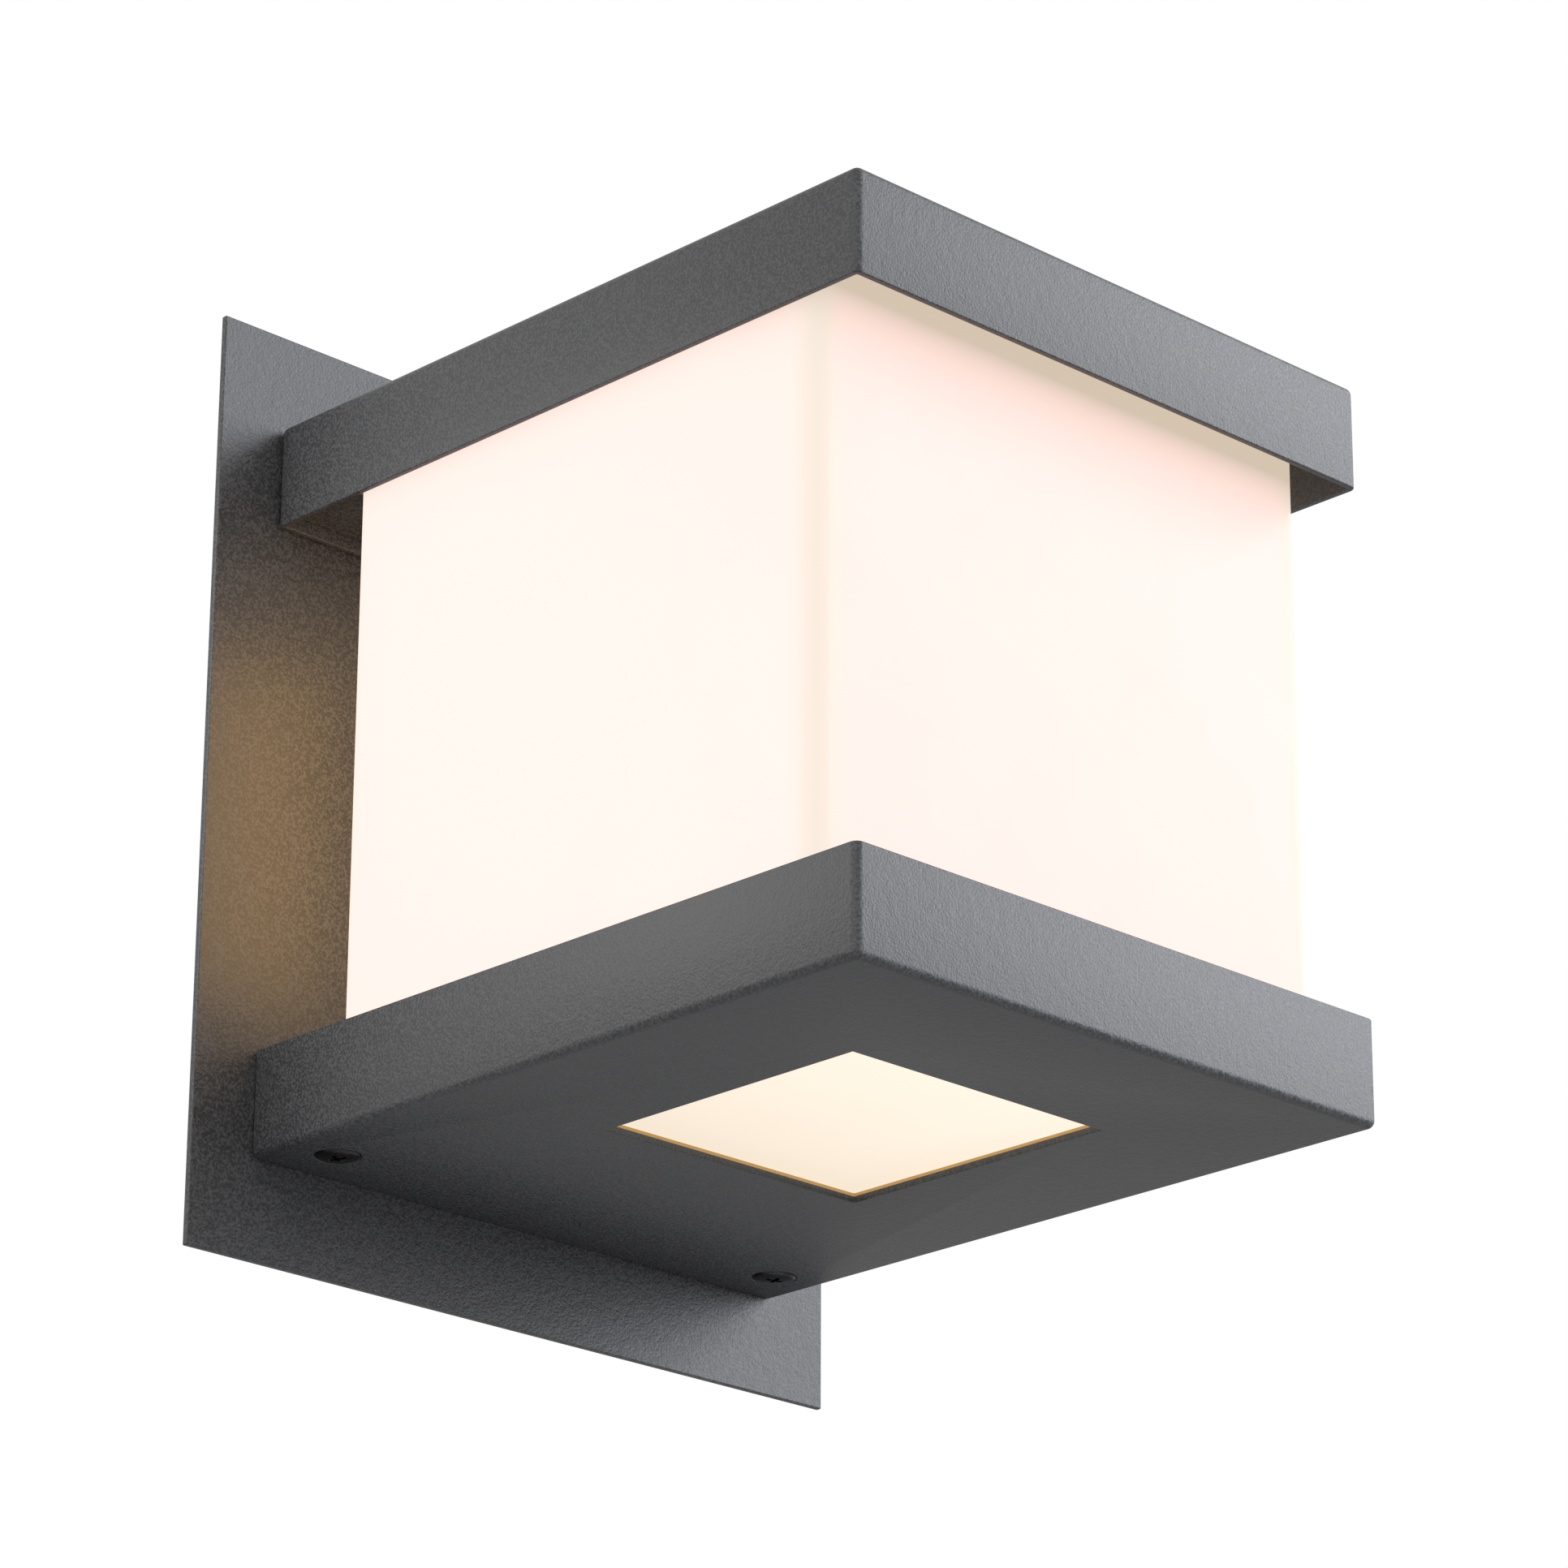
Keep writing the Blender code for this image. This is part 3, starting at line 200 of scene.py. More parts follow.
def makePaintedOpalWall():
    # Opal acrylic lit from inside, its glow painted as emission, with painted shade: dimmer under the cap's
    # edge and along its front corners
    material, tree, shader = newMaterial("opalWallPaintedLight", opal["body"], 0.28)
    shader.inputs["Specular IOR Level"].default_value = opal["gloss"]
    low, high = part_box("diffuser")
    middle, half = (low + high) / 2, (high - low) / 2
    split = tree.nodes.new("ShaderNodeSeparateXYZ")
    tree.links.new(objectPlace(tree), split.inputs["Vector"])
    across, along, height = split.outputs
    offMiddle = calc(tree, "ABSOLUTE", calc(tree, "SUBTRACT", across, middle.x))
    fromSide = calc(tree, "SUBTRACT", half.x, offMiddle)
    fromFront = calc(tree, "SUBTRACT", along, low.y)
    fromCorner = calc(tree, "MAXIMUM", fromSide, fromFront)
    # Painted shade along the front corners
    corner = spread(tree, fromCorner, opal["cornerShadeRange"], (1, 0), smooth=True)
    facing = spread(tree, fromFront, opal["frontRange"], (1, 0), smooth=True)
    glow = mixed(tree, facing, opal["lit"], opal["litFront"])
    glow = mixed(tree, corner, glow, opal["corner"])

    # Painted shade under the cap's edge, fading down the walls, strongest on the front wall
    viewTop = high.z - opal["rimDepth"] + opal["viewDepth"]
    below = calc(tree, "MINIMUM", calc(tree, "SUBTRACT", height, viewTop), 0.0)
    under = calc(tree, "EXPONENT", calc(tree, "DIVIDE", below, opal["fade"]))
    share = spread(tree, fromFront, (0.0, opal["frontReach"]), (1.0, opal["sideShare"]), smooth=True)
    glow = mixed(tree, calc(tree, "MULTIPLY", under, share), glow, opal["shaded"])

    # The floor seen through the tray's window, with painted shade darkening it toward the back
    inset = opal["windowInset"]
    farShade = spread(tree, along, (low.y + inset, high.y - inset), unit, smooth=True)
    base = mixed(tree, farShade, opal["window"], opal["windowFarShade"])
    floor = spread(tree, height, [low.z + reach for reach in opal["floorRange"]], (1, 0))
    # Painted warmer glow on the wall that faces the plate
    rear = spread(tree, along, [high.y + reach for reach in opal["rearRange"]], unit)
    glow = mixed(tree, floor, glow, base)
    glow = mixed(tree, rear, glow, opal["rear"])
    tree.links.new(glow, shader.inputs["Emission Color"])
    shader.inputs["Emission Strength"].default_value = 1.0
    haze = noise(tree, opal["haze"], 3.0)
    tree.links.new(spread(tree, haze, middling, opal["roughness"]), shader.inputs["Roughness"])
    bumped(tree, shader, noise(tree, opal["ripple"], 1.0), opal["rippleRelief"])
    return material


lampGlow = {"facing": (1.5, 1.1, 0.85), "edge": (0.55, 0.42, 0.30), "blend": 0.35, "strength": 0.8}


def makeLampOpal():
    # The lit lamp: brightest where its dome faces the viewer
    material, tree, shader = newMaterial("lampOpal", (0.75, 0.72, 0.66), 0.35)
    facing = tree.nodes.new("ShaderNodeLayerWeight")
    facing.inputs["Blend"].default_value = lampGlow["blend"]
    glow = mixed(tree, facing.outputs["Facing"], lampGlow["facing"], lampGlow["edge"])
    tree.links.new(glow, shader.inputs["Emission Color"])
    shader.inputs["Emission Strength"].default_value = lampGlow["strength"]
    bumped(tree, shader, noise(tree, 700, 1.0), 0.00001)
    return material


def makeMetal(name, dark, light, roughness, cloud=90, scratch=None, relief=0.00001):
    # Plated or bare metal: a clouded colour, uneven gloss and fine working marks
    material, tree, shader = newMaterial(name, dark, sum(roughness) / 2, 1.0)
    patch = noise(tree, cloud, 3.0)
    marks = noise(tree, 1400, 2.0, scratch or (1, 1, 1))
    clouded = spread(tree, patch, (0.35, 0.65), unit)
    tree.links.new(mixed(tree, clouded, dark, light), shader.inputs["Base Color"])
    tree.links.new(spread(tree, marks, middling, roughness), shader.inputs["Roughness"])
    bumped(tree, shader, marks, relief)
    return material


glazeRoughness = 0.05


def makePlain(name, dark, light, roughness, grain=900, relief=0.00002, cloud=40, coatWeight=0.0):
    # Enamel, moulding, glaze or rubber: slight colour drift under an even fine grain
    material, tree, shader = newMaterial(name, dark, sum(roughness) / 2)
    shader.inputs["Coat Weight"].default_value = coatWeight
    shader.inputs["Coat Roughness"].default_value = glazeRoughness
    drift = spread(tree, noise(tree, cloud, 2.0), middling, unit)
    texture = noise(tree, grain, 1.5)
    tree.links.new(mixed(tree, drift, dark, light), shader.inputs["Base Color"])
    tree.links.new(spread(tree, texture, middling, roughness), shader.inputs["Roughness"])
    bumped(tree, shader, texture, relief)
    return material


def makeSilicone():
    # Clear silicone against the lit acrylic: a painted amber glow, as emission, at its cut edge
    material, tree, shader = newMaterial("windowSiliconePaintedGlow", (0.42, 0.27, 0.10), 0.45)
    shader.inputs["Subsurface Weight"].default_value = 0.3
    shader.inputs["Subsurface Radius"].default_value = (0.004, 0.002, 0.001)
    # Painted glow: stands in for the acrylic's light showing through the silicone
    shader.inputs["Emission Color"].default_value = (0.60, 0.34, 0.10, 1.0)
    shader.inputs["Emission Strength"].default_value = 0.35
    bumped(tree, shader, noise(tree, 600, 1.5), 0.00003)
    return material


plasticSheen = (0.32, 0.44)
finishes = {
    "powder_coat": makePowderCoat(),
    "opal_acrylic": makePaintedOpalWall(),
    "zinc_plate": makeMetal("zincPlate", (0.46, 0.47, 0.49), (0.64, 0.63, 0.60), (0.26, 0.44)),
    "black_zinc": makeMetal("blackZinc", (0.020, 0.020, 0.023), (0.050, 0.049, 0.050), (0.20, 0.36), 260),
    "brass": makeMetal("brassPart", (0.60, 0.43, 0.18), (0.76, 0.58, 0.27), (0.22, 0.36)),
    "nickel": makeMetal("nickelPlate", (0.60, 0.57, 0.52), (0.72, 0.69, 0.64), (0.18, 0.30)),
    "aluminium": makeMetal(
        "boardAluminium", (0.72, 0.73, 0.74), (0.82, 0.82, 0.82), (0.30, 0.45), 60, (1, 12, 1)
    ),
    "black_rubber": makePlain(
        "blackRubber", (0.012, 0.012, 0.012), (0.024, 0.023, 0.022), (0.62, 0.82), 1300, 0.00004
    ),
    "grey_foam": makePlain(
        "greyFoam", (0.11, 0.11, 0.12), (0.20, 0.20, 0.21), (0.85, 0.98), 1500, 0.0002, 1500
    ),
    "clear_silicone": makeSilicone(),
    "porcelain": makePlain(
        "glazedPorcelain", (0.80, 0.78, 0.73), (0.86, 0.84, 0.80), (0.10, 0.18), 160, 0.00005, 30, 0.6
    ),
    "white_nylon": makePlain(
        "whiteNylon", (0.70, 0.68, 0.62), (0.78, 0.76, 0.71), (0.34, 0.48), 1100, 0.00003
    ),
    "black_glass": makePlain(
        "blackGlass", (0.008, 0.008, 0.010), (0.014, 0.013, 0.014), (0.05, 0.12), 220, 0.00003
    ),
    "brown_insulation": makePlain("brownPvc", (0.11, 0.040, 0.014), (0.15, 0.058, 0.022), plasticSheen),
    "blue_insulation": makePlain("bluePvc", (0.012, 0.060, 0.30), (0.020, 0.085, 0.38), plasticSheen),
    "green_insulation": makePlain("greenPvc", (0.10, 0.30, 0.03), (0.62, 0.55, 0.03), plasticSheen, cloud=60),
}
lampOpal = makeLampOpal()
slotOf = {part["node"]: part["material_slot"] for part in frame["record"]["subparts"]}
bodyOf = {name: nodes[name]["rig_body"] for name in nodes}
for name, node in nodes.items():
    for place in node.material_slots:
        place.material = finishes[slotOf[name]]
print("materials made:", len(finishes) + 1)


# What pieces are built from

def addMesh(name, bm, smoothAngle=35):
    bmesh.ops.recalc_face_normals(bm, faces=bm.faces)
    mesh = bpy.data.meshes.new(name)
    bm.to_mesh(mesh)
    bm.free()
    mesh.shade_smooth()
    mesh.set_sharp_from_angle(angle=math.radians(smoothAngle))
    made = bpy.data.objects.new(name, mesh)
    bpy.context.scene.collection.objects.link(made)
    return made


def settled(made, smoothAngle=35):
    # The evaluated shape as a plain mesh, with no modifiers left
    bpy.context.view_layer.update()
    evaluated = made.evaluated_get(bpy.context.evaluated_depsgraph_get())
    mesh = bpy.data.meshes.new_from_object(evaluated)
    made.modifiers.clear()
    made.data = mesh
    mesh.shade_smooth()
    mesh.set_sharp_from_angle(angle=math.radians(smoothAngle))
    return made


def blockMesh(low, high):
    bm = bmesh.new()
    bmesh.ops.create_cube(bm, size=1.0)
    size = Vector(high) - Vector(low)
    bmesh.ops.scale(bm, vec=size, verts=bm.verts)
    bmesh.ops.translate(bm, vec=Vector(low) + size / 2, verts=bm.verts)
    return bm


def softened(profile, radius, steps=4):
    # The outline with each inner corner turned into a small curve
    points = [Vector(point) for point in profile]
    curved = [points[0]]
    for before, corner, after in zip(points, points[1:], points[2:]):
        reach = min(radius, (before - corner).length * 0.45, (after - corner).length * 0.45)
        start = corner + (before - corner).normalized() * reach
        end = corner + (after - corner).normalized() * reach
        for step in range(steps + 1):
            t = step / steps
            curved.append(start * (1 - t) ** 2 + corner * 2 * t * (1 - t) + end * t**2)
    curved.append(points[-1])
    return curved


nearly = 0.00001  # points closer than this are on one level


def turned(name, profile, centre, steps=64, closed=False):
    # A shape of revolution about an upright axis through centre, from (radius, height) points
    bm = bmesh.new()
    ring = [bm.verts.new((radius, 0, height)) for radius, height in profile]
    pairs = list(zip(ring, ring[1:])) + ([(ring[-1], ring[0])] if closed else [])
    edges = [bm.edges.new(pair) for pair in pairs]
    bmesh.ops.spin(bm, geom=ring + edges, axis=(0, 0, 1), cent=(0, 0, 0), angle=math.tau, steps=steps)
    bmesh.ops.remove_doubles(bm, verts=bm.verts, dist=0.000005)
    bmesh.ops.translate(bm, vec=centre, verts=bm.verts)
    return addMesh(name, bm)


def carve(made, cutter, operation="DIFFERENCE"):
    modifier = made.modifiers.new("carve", "BOOLEAN")
    modifier.object = cutter
    modifier.operation = operation
    settled(made)
    bpy.data.objects.remove(cutter)
    return made


def finished(made, *replaced, material=None):
    # Coats a piece, and puts it on the body and in the slot of the nodes that it stands for
    first = replaced[0]
    made.data.materials.clear()
    made.data.materials.append(material or finishes[slotOf[first]])
    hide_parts(*replaced)
    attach(made, bodyOf[first])
    return made


# Geometry Nodes for what repeats: threaded shanks and hexagon nuts

def newTree(name, sizes):
    tree = bpy.data.node_groups.new(name, "GeometryNodeTree")
    tree.interface.new_socket("Places", in_out="INPUT", socket_type="NodeSocketGeometry")
    for label, kind in sizes:
        tree.interface.new_socket(label, in_out="INPUT", socket_type=kind)
    tree.interface.new_socket("Geometry", in_out="OUTPUT", socket_type="NodeSocketGeometry")
    entry = tree.nodes.new("NodeGroupInput")
    leaving = tree.nodes.new("NodeGroupOutput")
    return tree, entry, leaving


def put(tree, kind, links=None, values=None, **settings):
    made = tree.nodes.new(kind)
    for key, value in settings.items():
        setattr(made, key, value)
    for socket, value in (values or {}).items():
        made.inputs[socket].default_value = value
    for socket, source in (links or {}).items():
        tree.links.new(source, made.inputs[socket])
    return made


def finishTree(tree, entry, leaving, shape):
    # Copies the shape to each place, as real faces in the wanted material
    spots = put(
        tree,
        "GeometryNodeInstanceOnPoints",
        {"Points": entry.outputs["Places"], "Instance": shape, "Rotation": entry.outputs["Turn"]},
    )
    real = put(tree, "GeometryNodeRealizeInstances", {"Geometry": spots.outputs["Instances"]})
    painted = put(
        tree,
        "GeometryNodeSetMaterial",
        {"Geometry": real.outputs["Geometry"], "Material": entry.outputs["Material"]},
    )
    tree.links.new(painted.outputs["Geometry"], leaving.inputs["Geometry"])
    return tree


def makeThreadTree():
    # A closed round bar from z = 0 up, whose side is drawn in and out along a right-hand helix
    tree, entry, leaving = newTree(
        "threadedShank",
        [
            ("Radius", "NodeSocketFloat"),
            ("Length", "NodeSocketFloat"),
            ("Pitch", "NodeSocketFloat"),
            ("Depth", "NodeSocketFloat"),
            ("Run-out", "NodeSocketFloat"),
            ("Sides", "NodeSocketInt"),
            ("Rows", "NodeSocketInt"),
            ("Turn", "NodeSocketRotation"),
            ("Material", "NodeSocketMaterial"),
        ],
    )
    size = entry.outputs
    bar = put(
        tree,
        "GeometryNodeMeshCylinder",
        {
            "Vertices": size["Sides"],
            "Side Segments": size["Rows"],
            "Radius": size["Radius"],
            "Depth": size["Length"],
        },
        fill_type="NGON",
    )
    lifted = calc(tree, "MULTIPLY", size["Length"], 0.5)
    lift = put(tree, "ShaderNodeCombineXYZ", {"Z": lifted})
    raised = put(
        tree,
        "GeometryNodeTransform",
        {"Geometry": bar.outputs["Mesh"], "Translation": lift.outputs["Vector"]},
    )
    position = put(tree, "GeometryNodeInputPosition")
    split = put(tree, "ShaderNodeSeparateXYZ", {"Vector": position.outputs["Position"]})
    height = split.outputs["Z"]
    bearing = calc(tree, "ARCTAN2", split.outputs["Y"], split.outputs["X"])
    turns = calc(tree, "DIVIDE", bearing, math.tau)
    lead = calc(tree, "SUBTRACT", calc(tree, "DIVIDE", height, size["Pitch"]), turns)
    wave = calc(tree, "MULTIPLY_ADD", calc(tree, "COSINE", calc(tree, "MULTIPLY", lead, math.tau)), 0.5)
    wave.node.inputs[2].default_value = 0.5
    nearEnd = calc(tree, "MINIMUM", height, calc(tree, "SUBTRACT", size["Length"], height))
    fade = calc(tree, "MINIMUM", calc(tree, "DIVIDE", nearEnd, size["Run-out"]), 1.0)
    drawnIn = calc(tree, "MULTIPLY", calc(tree, "MULTIPLY", wave, size["Depth"]), fade)
    share = calc(tree, "DIVIDE", calc(tree, "SUBTRACT", size["Radius"], drawnIn), size["Radius"])
    scale = put(tree, "ShaderNodeCombineXYZ", {"X": share, "Y": share}, {"Z": 1.0})
    moved = put(
        tree,
        "ShaderNodeVectorMath",
        {0: position.outputs["Position"], 1: scale.outputs["Vector"]},
        operation="MULTIPLY",
    )
    threaded = put(
        tree,
        "GeometryNodeSetPosition",
        {"Geometry": raised.outputs["Geometry"], "Position": moved.outputs["Vector"]},
    )
    return finishTree(tree, entry, leaving, threaded.outputs["Geometry"])


nutChamfer = {"wide": 0.63, "tall": 0.80}  # the ball's half sizes, in nut widths and heights


def makeNutTree():
    # A hexagon bar crossed with a flattened ball, which chamfers its corners, and bored through
    tree, entry, leaving = newTree(
        "hexagonNut",
        [
            ("Across flats", "NodeSocketFloat"),
            ("Height", "NodeSocketFloat"),
            ("Bore", "NodeSocketFloat"),
            ("Turn", "NodeSocketRotation"),
            ("Material", "NodeSocketMaterial"),
        ],
    )
    size = entry.outputs
    corner = calc(tree, "MULTIPLY", size["Across flats"], 1 / math.sqrt(3))
    bar = put(
        tree,
        "GeometryNodeMeshCylinder",
        {"Radius": corner, "Depth": size["Height"]},
        {"Vertices": 6},
        fill_type="NGON",
    )
    ball = put(tree, "GeometryNodeMeshUVSphere", None, {"Segments": 48, "Rings": 32, "Radius": 1.0})
    wide = calc(tree, "MULTIPLY", size["Across flats"], nutChamfer["wide"])
    tall = calc(tree, "MULTIPLY", size["Height"], nutChamfer["tall"])
    flatten = put(tree, "ShaderNodeCombineXYZ", {"X": wide, "Y": wide, "Z": tall})
    cushion = put(
        tree, "GeometryNodeTransform", {"Geometry": ball.outputs["Mesh"], "Scale": flatten.outputs["Vector"]}
    )
    crossed = put(
        tree,
        "GeometryNodeMeshBoolean",
        {"Mesh 2": bar.outputs["Mesh"]},
        operation="INTERSECT",
        solver="EXACT",
    )
    tree.links.new(cushion.outputs["Geometry"], crossed.inputs["Mesh 2"])
    through = calc(tree, "MULTIPLY", size["Height"], 2.0)
    drill = put(
        tree,
        "GeometryNodeMeshCylinder",
        {"Radius": size["Bore"], "Depth": through},
        {"Vertices": 48},
        fill_type="NGON",
    )
    bored = put(
        tree,
        "GeometryNodeMeshBoolean",
        {"Mesh 1": crossed.outputs["Mesh"], "Mesh 2": drill.outputs["Mesh"]},
        operation="DIFFERENCE",
        solver="EXACT",
    )
    half = calc(tree, "MULTIPLY", size["Height"], 0.5)
    lift = put(tree, "ShaderNodeCombineXYZ", {"Z": half})
    raised = put(
        tree,
        "GeometryNodeTransform",
        {"Geometry": bored.outputs["Mesh"], "Translation": lift.outputs["Vector"]},
    )
    return finishTree(tree, entry, leaving, raised.outputs["Geometry"])


threadTree, nutTree = makeThreadTree(), makeNutTree()
facingRoom = (math.radians(90), 0, 0)  # a piece's own up points out of the wall
upright = (0, 0, 0)


def grown(name, tree, places, sizes, turn, material, smoothAngle=35):
    # One plain mesh of the tree's shape at every place
    bm = bmesh.new()
    for place in places:
        bm.verts.new(place)
    mesh = bpy.data.meshes.new(name)
    bm.to_mesh(mesh)
    bm.free()
    made = bpy.data.objects.new(name, mesh)
    bpy.context.scene.collection.objects.link(made)
    modifier = made.modifiers.new(tree.name, "NODES")
    modifier.node_group = tree
    values = {**sizes, "Turn": turn, "Material": material}
    for item in tree.interface.items_tree:
        if item.in_out == "INPUT" and item.name in values:
            modifier[item.identifier] = values[item.name]
    return settled(made, smoothAngle)


# The sheet metal housing: cap, tray and plate

housing = {"sheet": 0.0015, "fold": 0.0018, "lip": 0.0003, "foldSteps": 6}


def foldedBox(name, low, high, openSides):
    # Sheet folded to a box, with its corners welded and dressed, open on the given sides
    bm = blockMesh(low, high)
    gone = [face for face in bm.faces if any(face.normal.dot(Vector(side)) > 0.9 for side in openSides)]
    bmesh.ops.delete(bm, geom=gone, context="FACES")
    folds = [edge for edge in bm.edges if not edge.is_boundary]
    bmesh.ops.bevel(
        bm,
        geom=folds,
        offset=housing["fold"],
        segments=housing["foldSteps"],
        profile=0.5,
        affect="EDGES",
    )
    made = addMesh(name, bm)
    wall = made.modifiers.new("sheet", "SOLIDIFY")
    wall.thickness = housing["sheet"]
    wall.offset = -1.0
    wall.use_even_offset = True
    settled(made)
    lip = made.modifiers.new("lip", "BEVEL")
    lip.width = housing["lip"]
    lip.segments = 3
    lip.limit_method = "ANGLE"
    lip.angle_limit = math.radians(60)
    return settled(made)


def drill(name, radius, centre, depth, direction=(0, 1, 0), sides=64):
    # A round cutter through centre, along direction
    bm = bmesh.new()
    bmesh.ops.create_cone(bm, cap_ends=True, segments=sides, radius1=radius, radius2=radius, depth=depth)
    bmesh.ops.rotate(bm, matrix=Vector(direction).to_track_quat("Z", "Y").to_matrix(), verts=bm.verts)
    bmesh.ops.translate(bm, vec=centre, verts=bm.verts)
    return addMesh(name, bm)


def centreOf(name):
    low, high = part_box(name)
    return (low + high) / 2


capHoles = {"studClearance": 0.0004, "bushClearance": 0.0003, "past": 0.002}


def makeCap():
    low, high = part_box("top_cap")
    cap = foldedBox("topCap", low, high, [(0, 0, -1)])
    through = housing["sheet"] + 2 * capHoles["past"]
    back = high.y - housing["sheet"] / 2
    for name in ("cap_stud_left", "cap_stud_right", "earth_stud"):
        low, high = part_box(name)
        radius = (high.x - low.x) / 2 + capHoles["studClearance"]
        centre = centreOf(name)
        carve(cap, drill("hole", radius, (centre.x, back, centre.z), through))
    bush = centreOf("cable_grommet")
    sleeve = bushSizes["sleeve"] + capHoles["bushClearance"]
    carve(cap, drill("hole", sleeve, (bush.x, back, bush.z), through))
    finished(cap, "top_cap")


trayCuts = {"windowSetback": 0.0075, "screwClearance": 0.0004, "past": 0.002, "edge": 0.00012}


def makeTray():
    low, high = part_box("bottom_tray")
    tray = foldedBox("bottomTray", low, high, [(0, 0, 1), (0, 1, 0)])
    sealLow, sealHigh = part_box("window_gasket")
    inset = Vector((trayCuts["windowSetback"],) * 2)
    past = trayCuts["past"]
    window = blockMesh(
        (*(sealLow.xy + inset), low.z - past),
        (*(sealHigh.xy - inset), low.z + housing["sheet"] + past),
    )
    carve(tray, addMesh("window", window))
    for side in ("left", "right"):
        screwLow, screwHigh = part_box(f"tray_screw_{side}")
        centre = (screwLow + screwHigh) / 2
        mouth = (screwHigh.x - screwLow.x) / 2 + trayCuts["screwClearance"]
        deep = housing["sheet"] + past
        profile = [(0, deep), (mouth - deep, deep), (mouth, 0), (mouth, -past), (0, -past)]
        countersink = turned("countersink", profile, (centre.x, centre.y, low.z), 64)
        carve(tray, countersink)
    edge = tray.modifiers.new("cutEdges", "BEVEL")
    edge.width = trayCuts["edge"]
    edge.segments = 2
    edge.limit_method = "ANGLE"
    edge.angle_limit = math.radians(70)
    edge.use_clamp_overlap = True
    finished(settled(tray), "bottom_tray")


# The diffuser, one opal moulding with an open top

diffuserSizes = {"wall": 0.003, "corner": 0.004, "floorEdge": 0.0015, "rim": 0.0005}


def makeDiffuser():
    low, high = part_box("diffuser")
    bm = blockMesh(low, high)
    top = [face for face in bm.faces if face.normal.z > 0.9]
    bmesh.ops.delete(bm, geom=top, context="FACES")
    corners = [edge for edge in bm.edges if abs(edge.verts[0].co.z - edge.verts[1].co.z) > nearly]
    bmesh.ops.bevel(
        bm, geom=corners, offset=diffuserSizes["corner"], segments=14, profile=0.5, affect="EDGES"
    )
    floor = [edge for edge in bm.edges if max(vert.co.z for vert in edge.verts) < low.z + nearly]
    bmesh.ops.bevel(
        bm, geom=floor, offset=diffuserSizes["floorEdge"], segments=5, profile=0.5, affect="EDGES"
    )
    made = addMesh("opalDiffuser", bm)
    wall = made.modifiers.new("wall", "SOLIDIFY")
    wall.thickness = diffuserSizes["wall"]
    wall.offset = -1.0
    wall.use_even_offset = True
    settled(made)
    rim = made.modifiers.new("rim", "BEVEL")
    rim.width = diffuserSizes["rim"]
    rim.segments = 3
    rim.limit_method = "ANGLE"
    rim.angle_limit = math.radians(60)
    finished(settled(made), "diffuser")


# The two tray screws: raised countersunk heads with a cross recess, on a cut thread

trayScrew = {
    "shank": 0.0024,
    "pitch": 0.0008,
    "threadDepth": 0.0005,
    "rise": 0.0008,
    "edge": 0.00018,
    "recessReach": 0.0026,
    "recessBlade": 0.0006,
    "recessDepth": 0.0021,
    "recessPast": 0.001,
    "recessTaper": (0.34, 0.55),
    "embed": 0.0001,
    "runOut": 0.0012,
    "clocking": {"left": 20, "right": -14},
}


def crossRecess(centre, turn):
    # Two tapered blades and a blunt middle, as a cross driver leaves
    half, reach, deep = trayScrew["recessBlade"], trayScrew["recessReach"], trayScrew["recessDepth"]
    for angle in (0, 90):
        blade = blockMesh((-reach, -half, -trayScrew["recessPast"]), (reach, half, deep))
        for vert in blade.verts:
            if vert.co.z > 0:
                vert.co.x *= trayScrew["recessTaper"][0]
                vert.co.y *= trayScrew["recessTaper"][1]
        mesh = bpy.data.meshes.new("blade")
        blade.to_mesh(mesh)
        blade.free()
        mesh.transform(Matrix.Translation(centre) @ Matrix.Rotation(math.radians(angle + turn), 4, "Z"))
        cutter = bpy.data.objects.new("blade", mesh)
        bpy.context.scene.collection.objects.link(cutter)
        yield cutter


def makeTrayScrews():
    for side in ("left", "right"):
        name = f"tray_screw_{side}"
        low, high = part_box(name)
        centre = (low + high) / 2
        headRadius = (high.x - low.x) / 2
        rim = low.z + trayScrew["rise"]
        neck = rim + headRadius - trayScrew["shank"]
        arc = [math.radians(angle) for angle in range(84, 0, -7)]
        lens = [(headRadius * math.sin(a), rim - trayScrew["rise"] * math.cos(a)) for a in arc]
        profile = [
            (0, neck + trayScrew["runOut"]),
            (trayScrew["shank"], neck + trayScrew["runOut"]),
            (trayScrew["shank"], neck),
            (headRadius, rim + trayScrew["edge"]),
            (headRadius, rim),
        ]
        head = turned(f"trayScrew{side.title()}", profile + lens + [(0, low.z)], (centre.x, centre.y, 0), 96)
        for cutter in crossRecess((centre.x, centre.y, low.z), trayScrew["clocking"][side]):
            carve(head, cutter)
        shank = grown(
            "shank",
            threadTree,
            [(centre.x, centre.y, neck + trayScrew["embed"])],
            {
                "Radius": trayScrew["shank"],
                "Length": high.z - neck - trayScrew["embed"],
                "Pitch": trayScrew["pitch"],
                "Depth": trayScrew["threadDepth"],
                "Run-out": trayScrew["runOut"],
                "Sides": 32,
                "Rows": 150,
            },
            upright,
            finishes["black_zinc"],
        )
        carve(head, shank, "UNION")
        finished(head, name)


# Weld studs and nuts on the plate, and the nuts that take the tray screws

hardware = {
    "studPitch": 0.0007,
    "studDepth": 0.0004,
    "studRunOut": 0.0008,
    "nutBore": 0.0023,
    "trayNutBore": 0.0027,
}


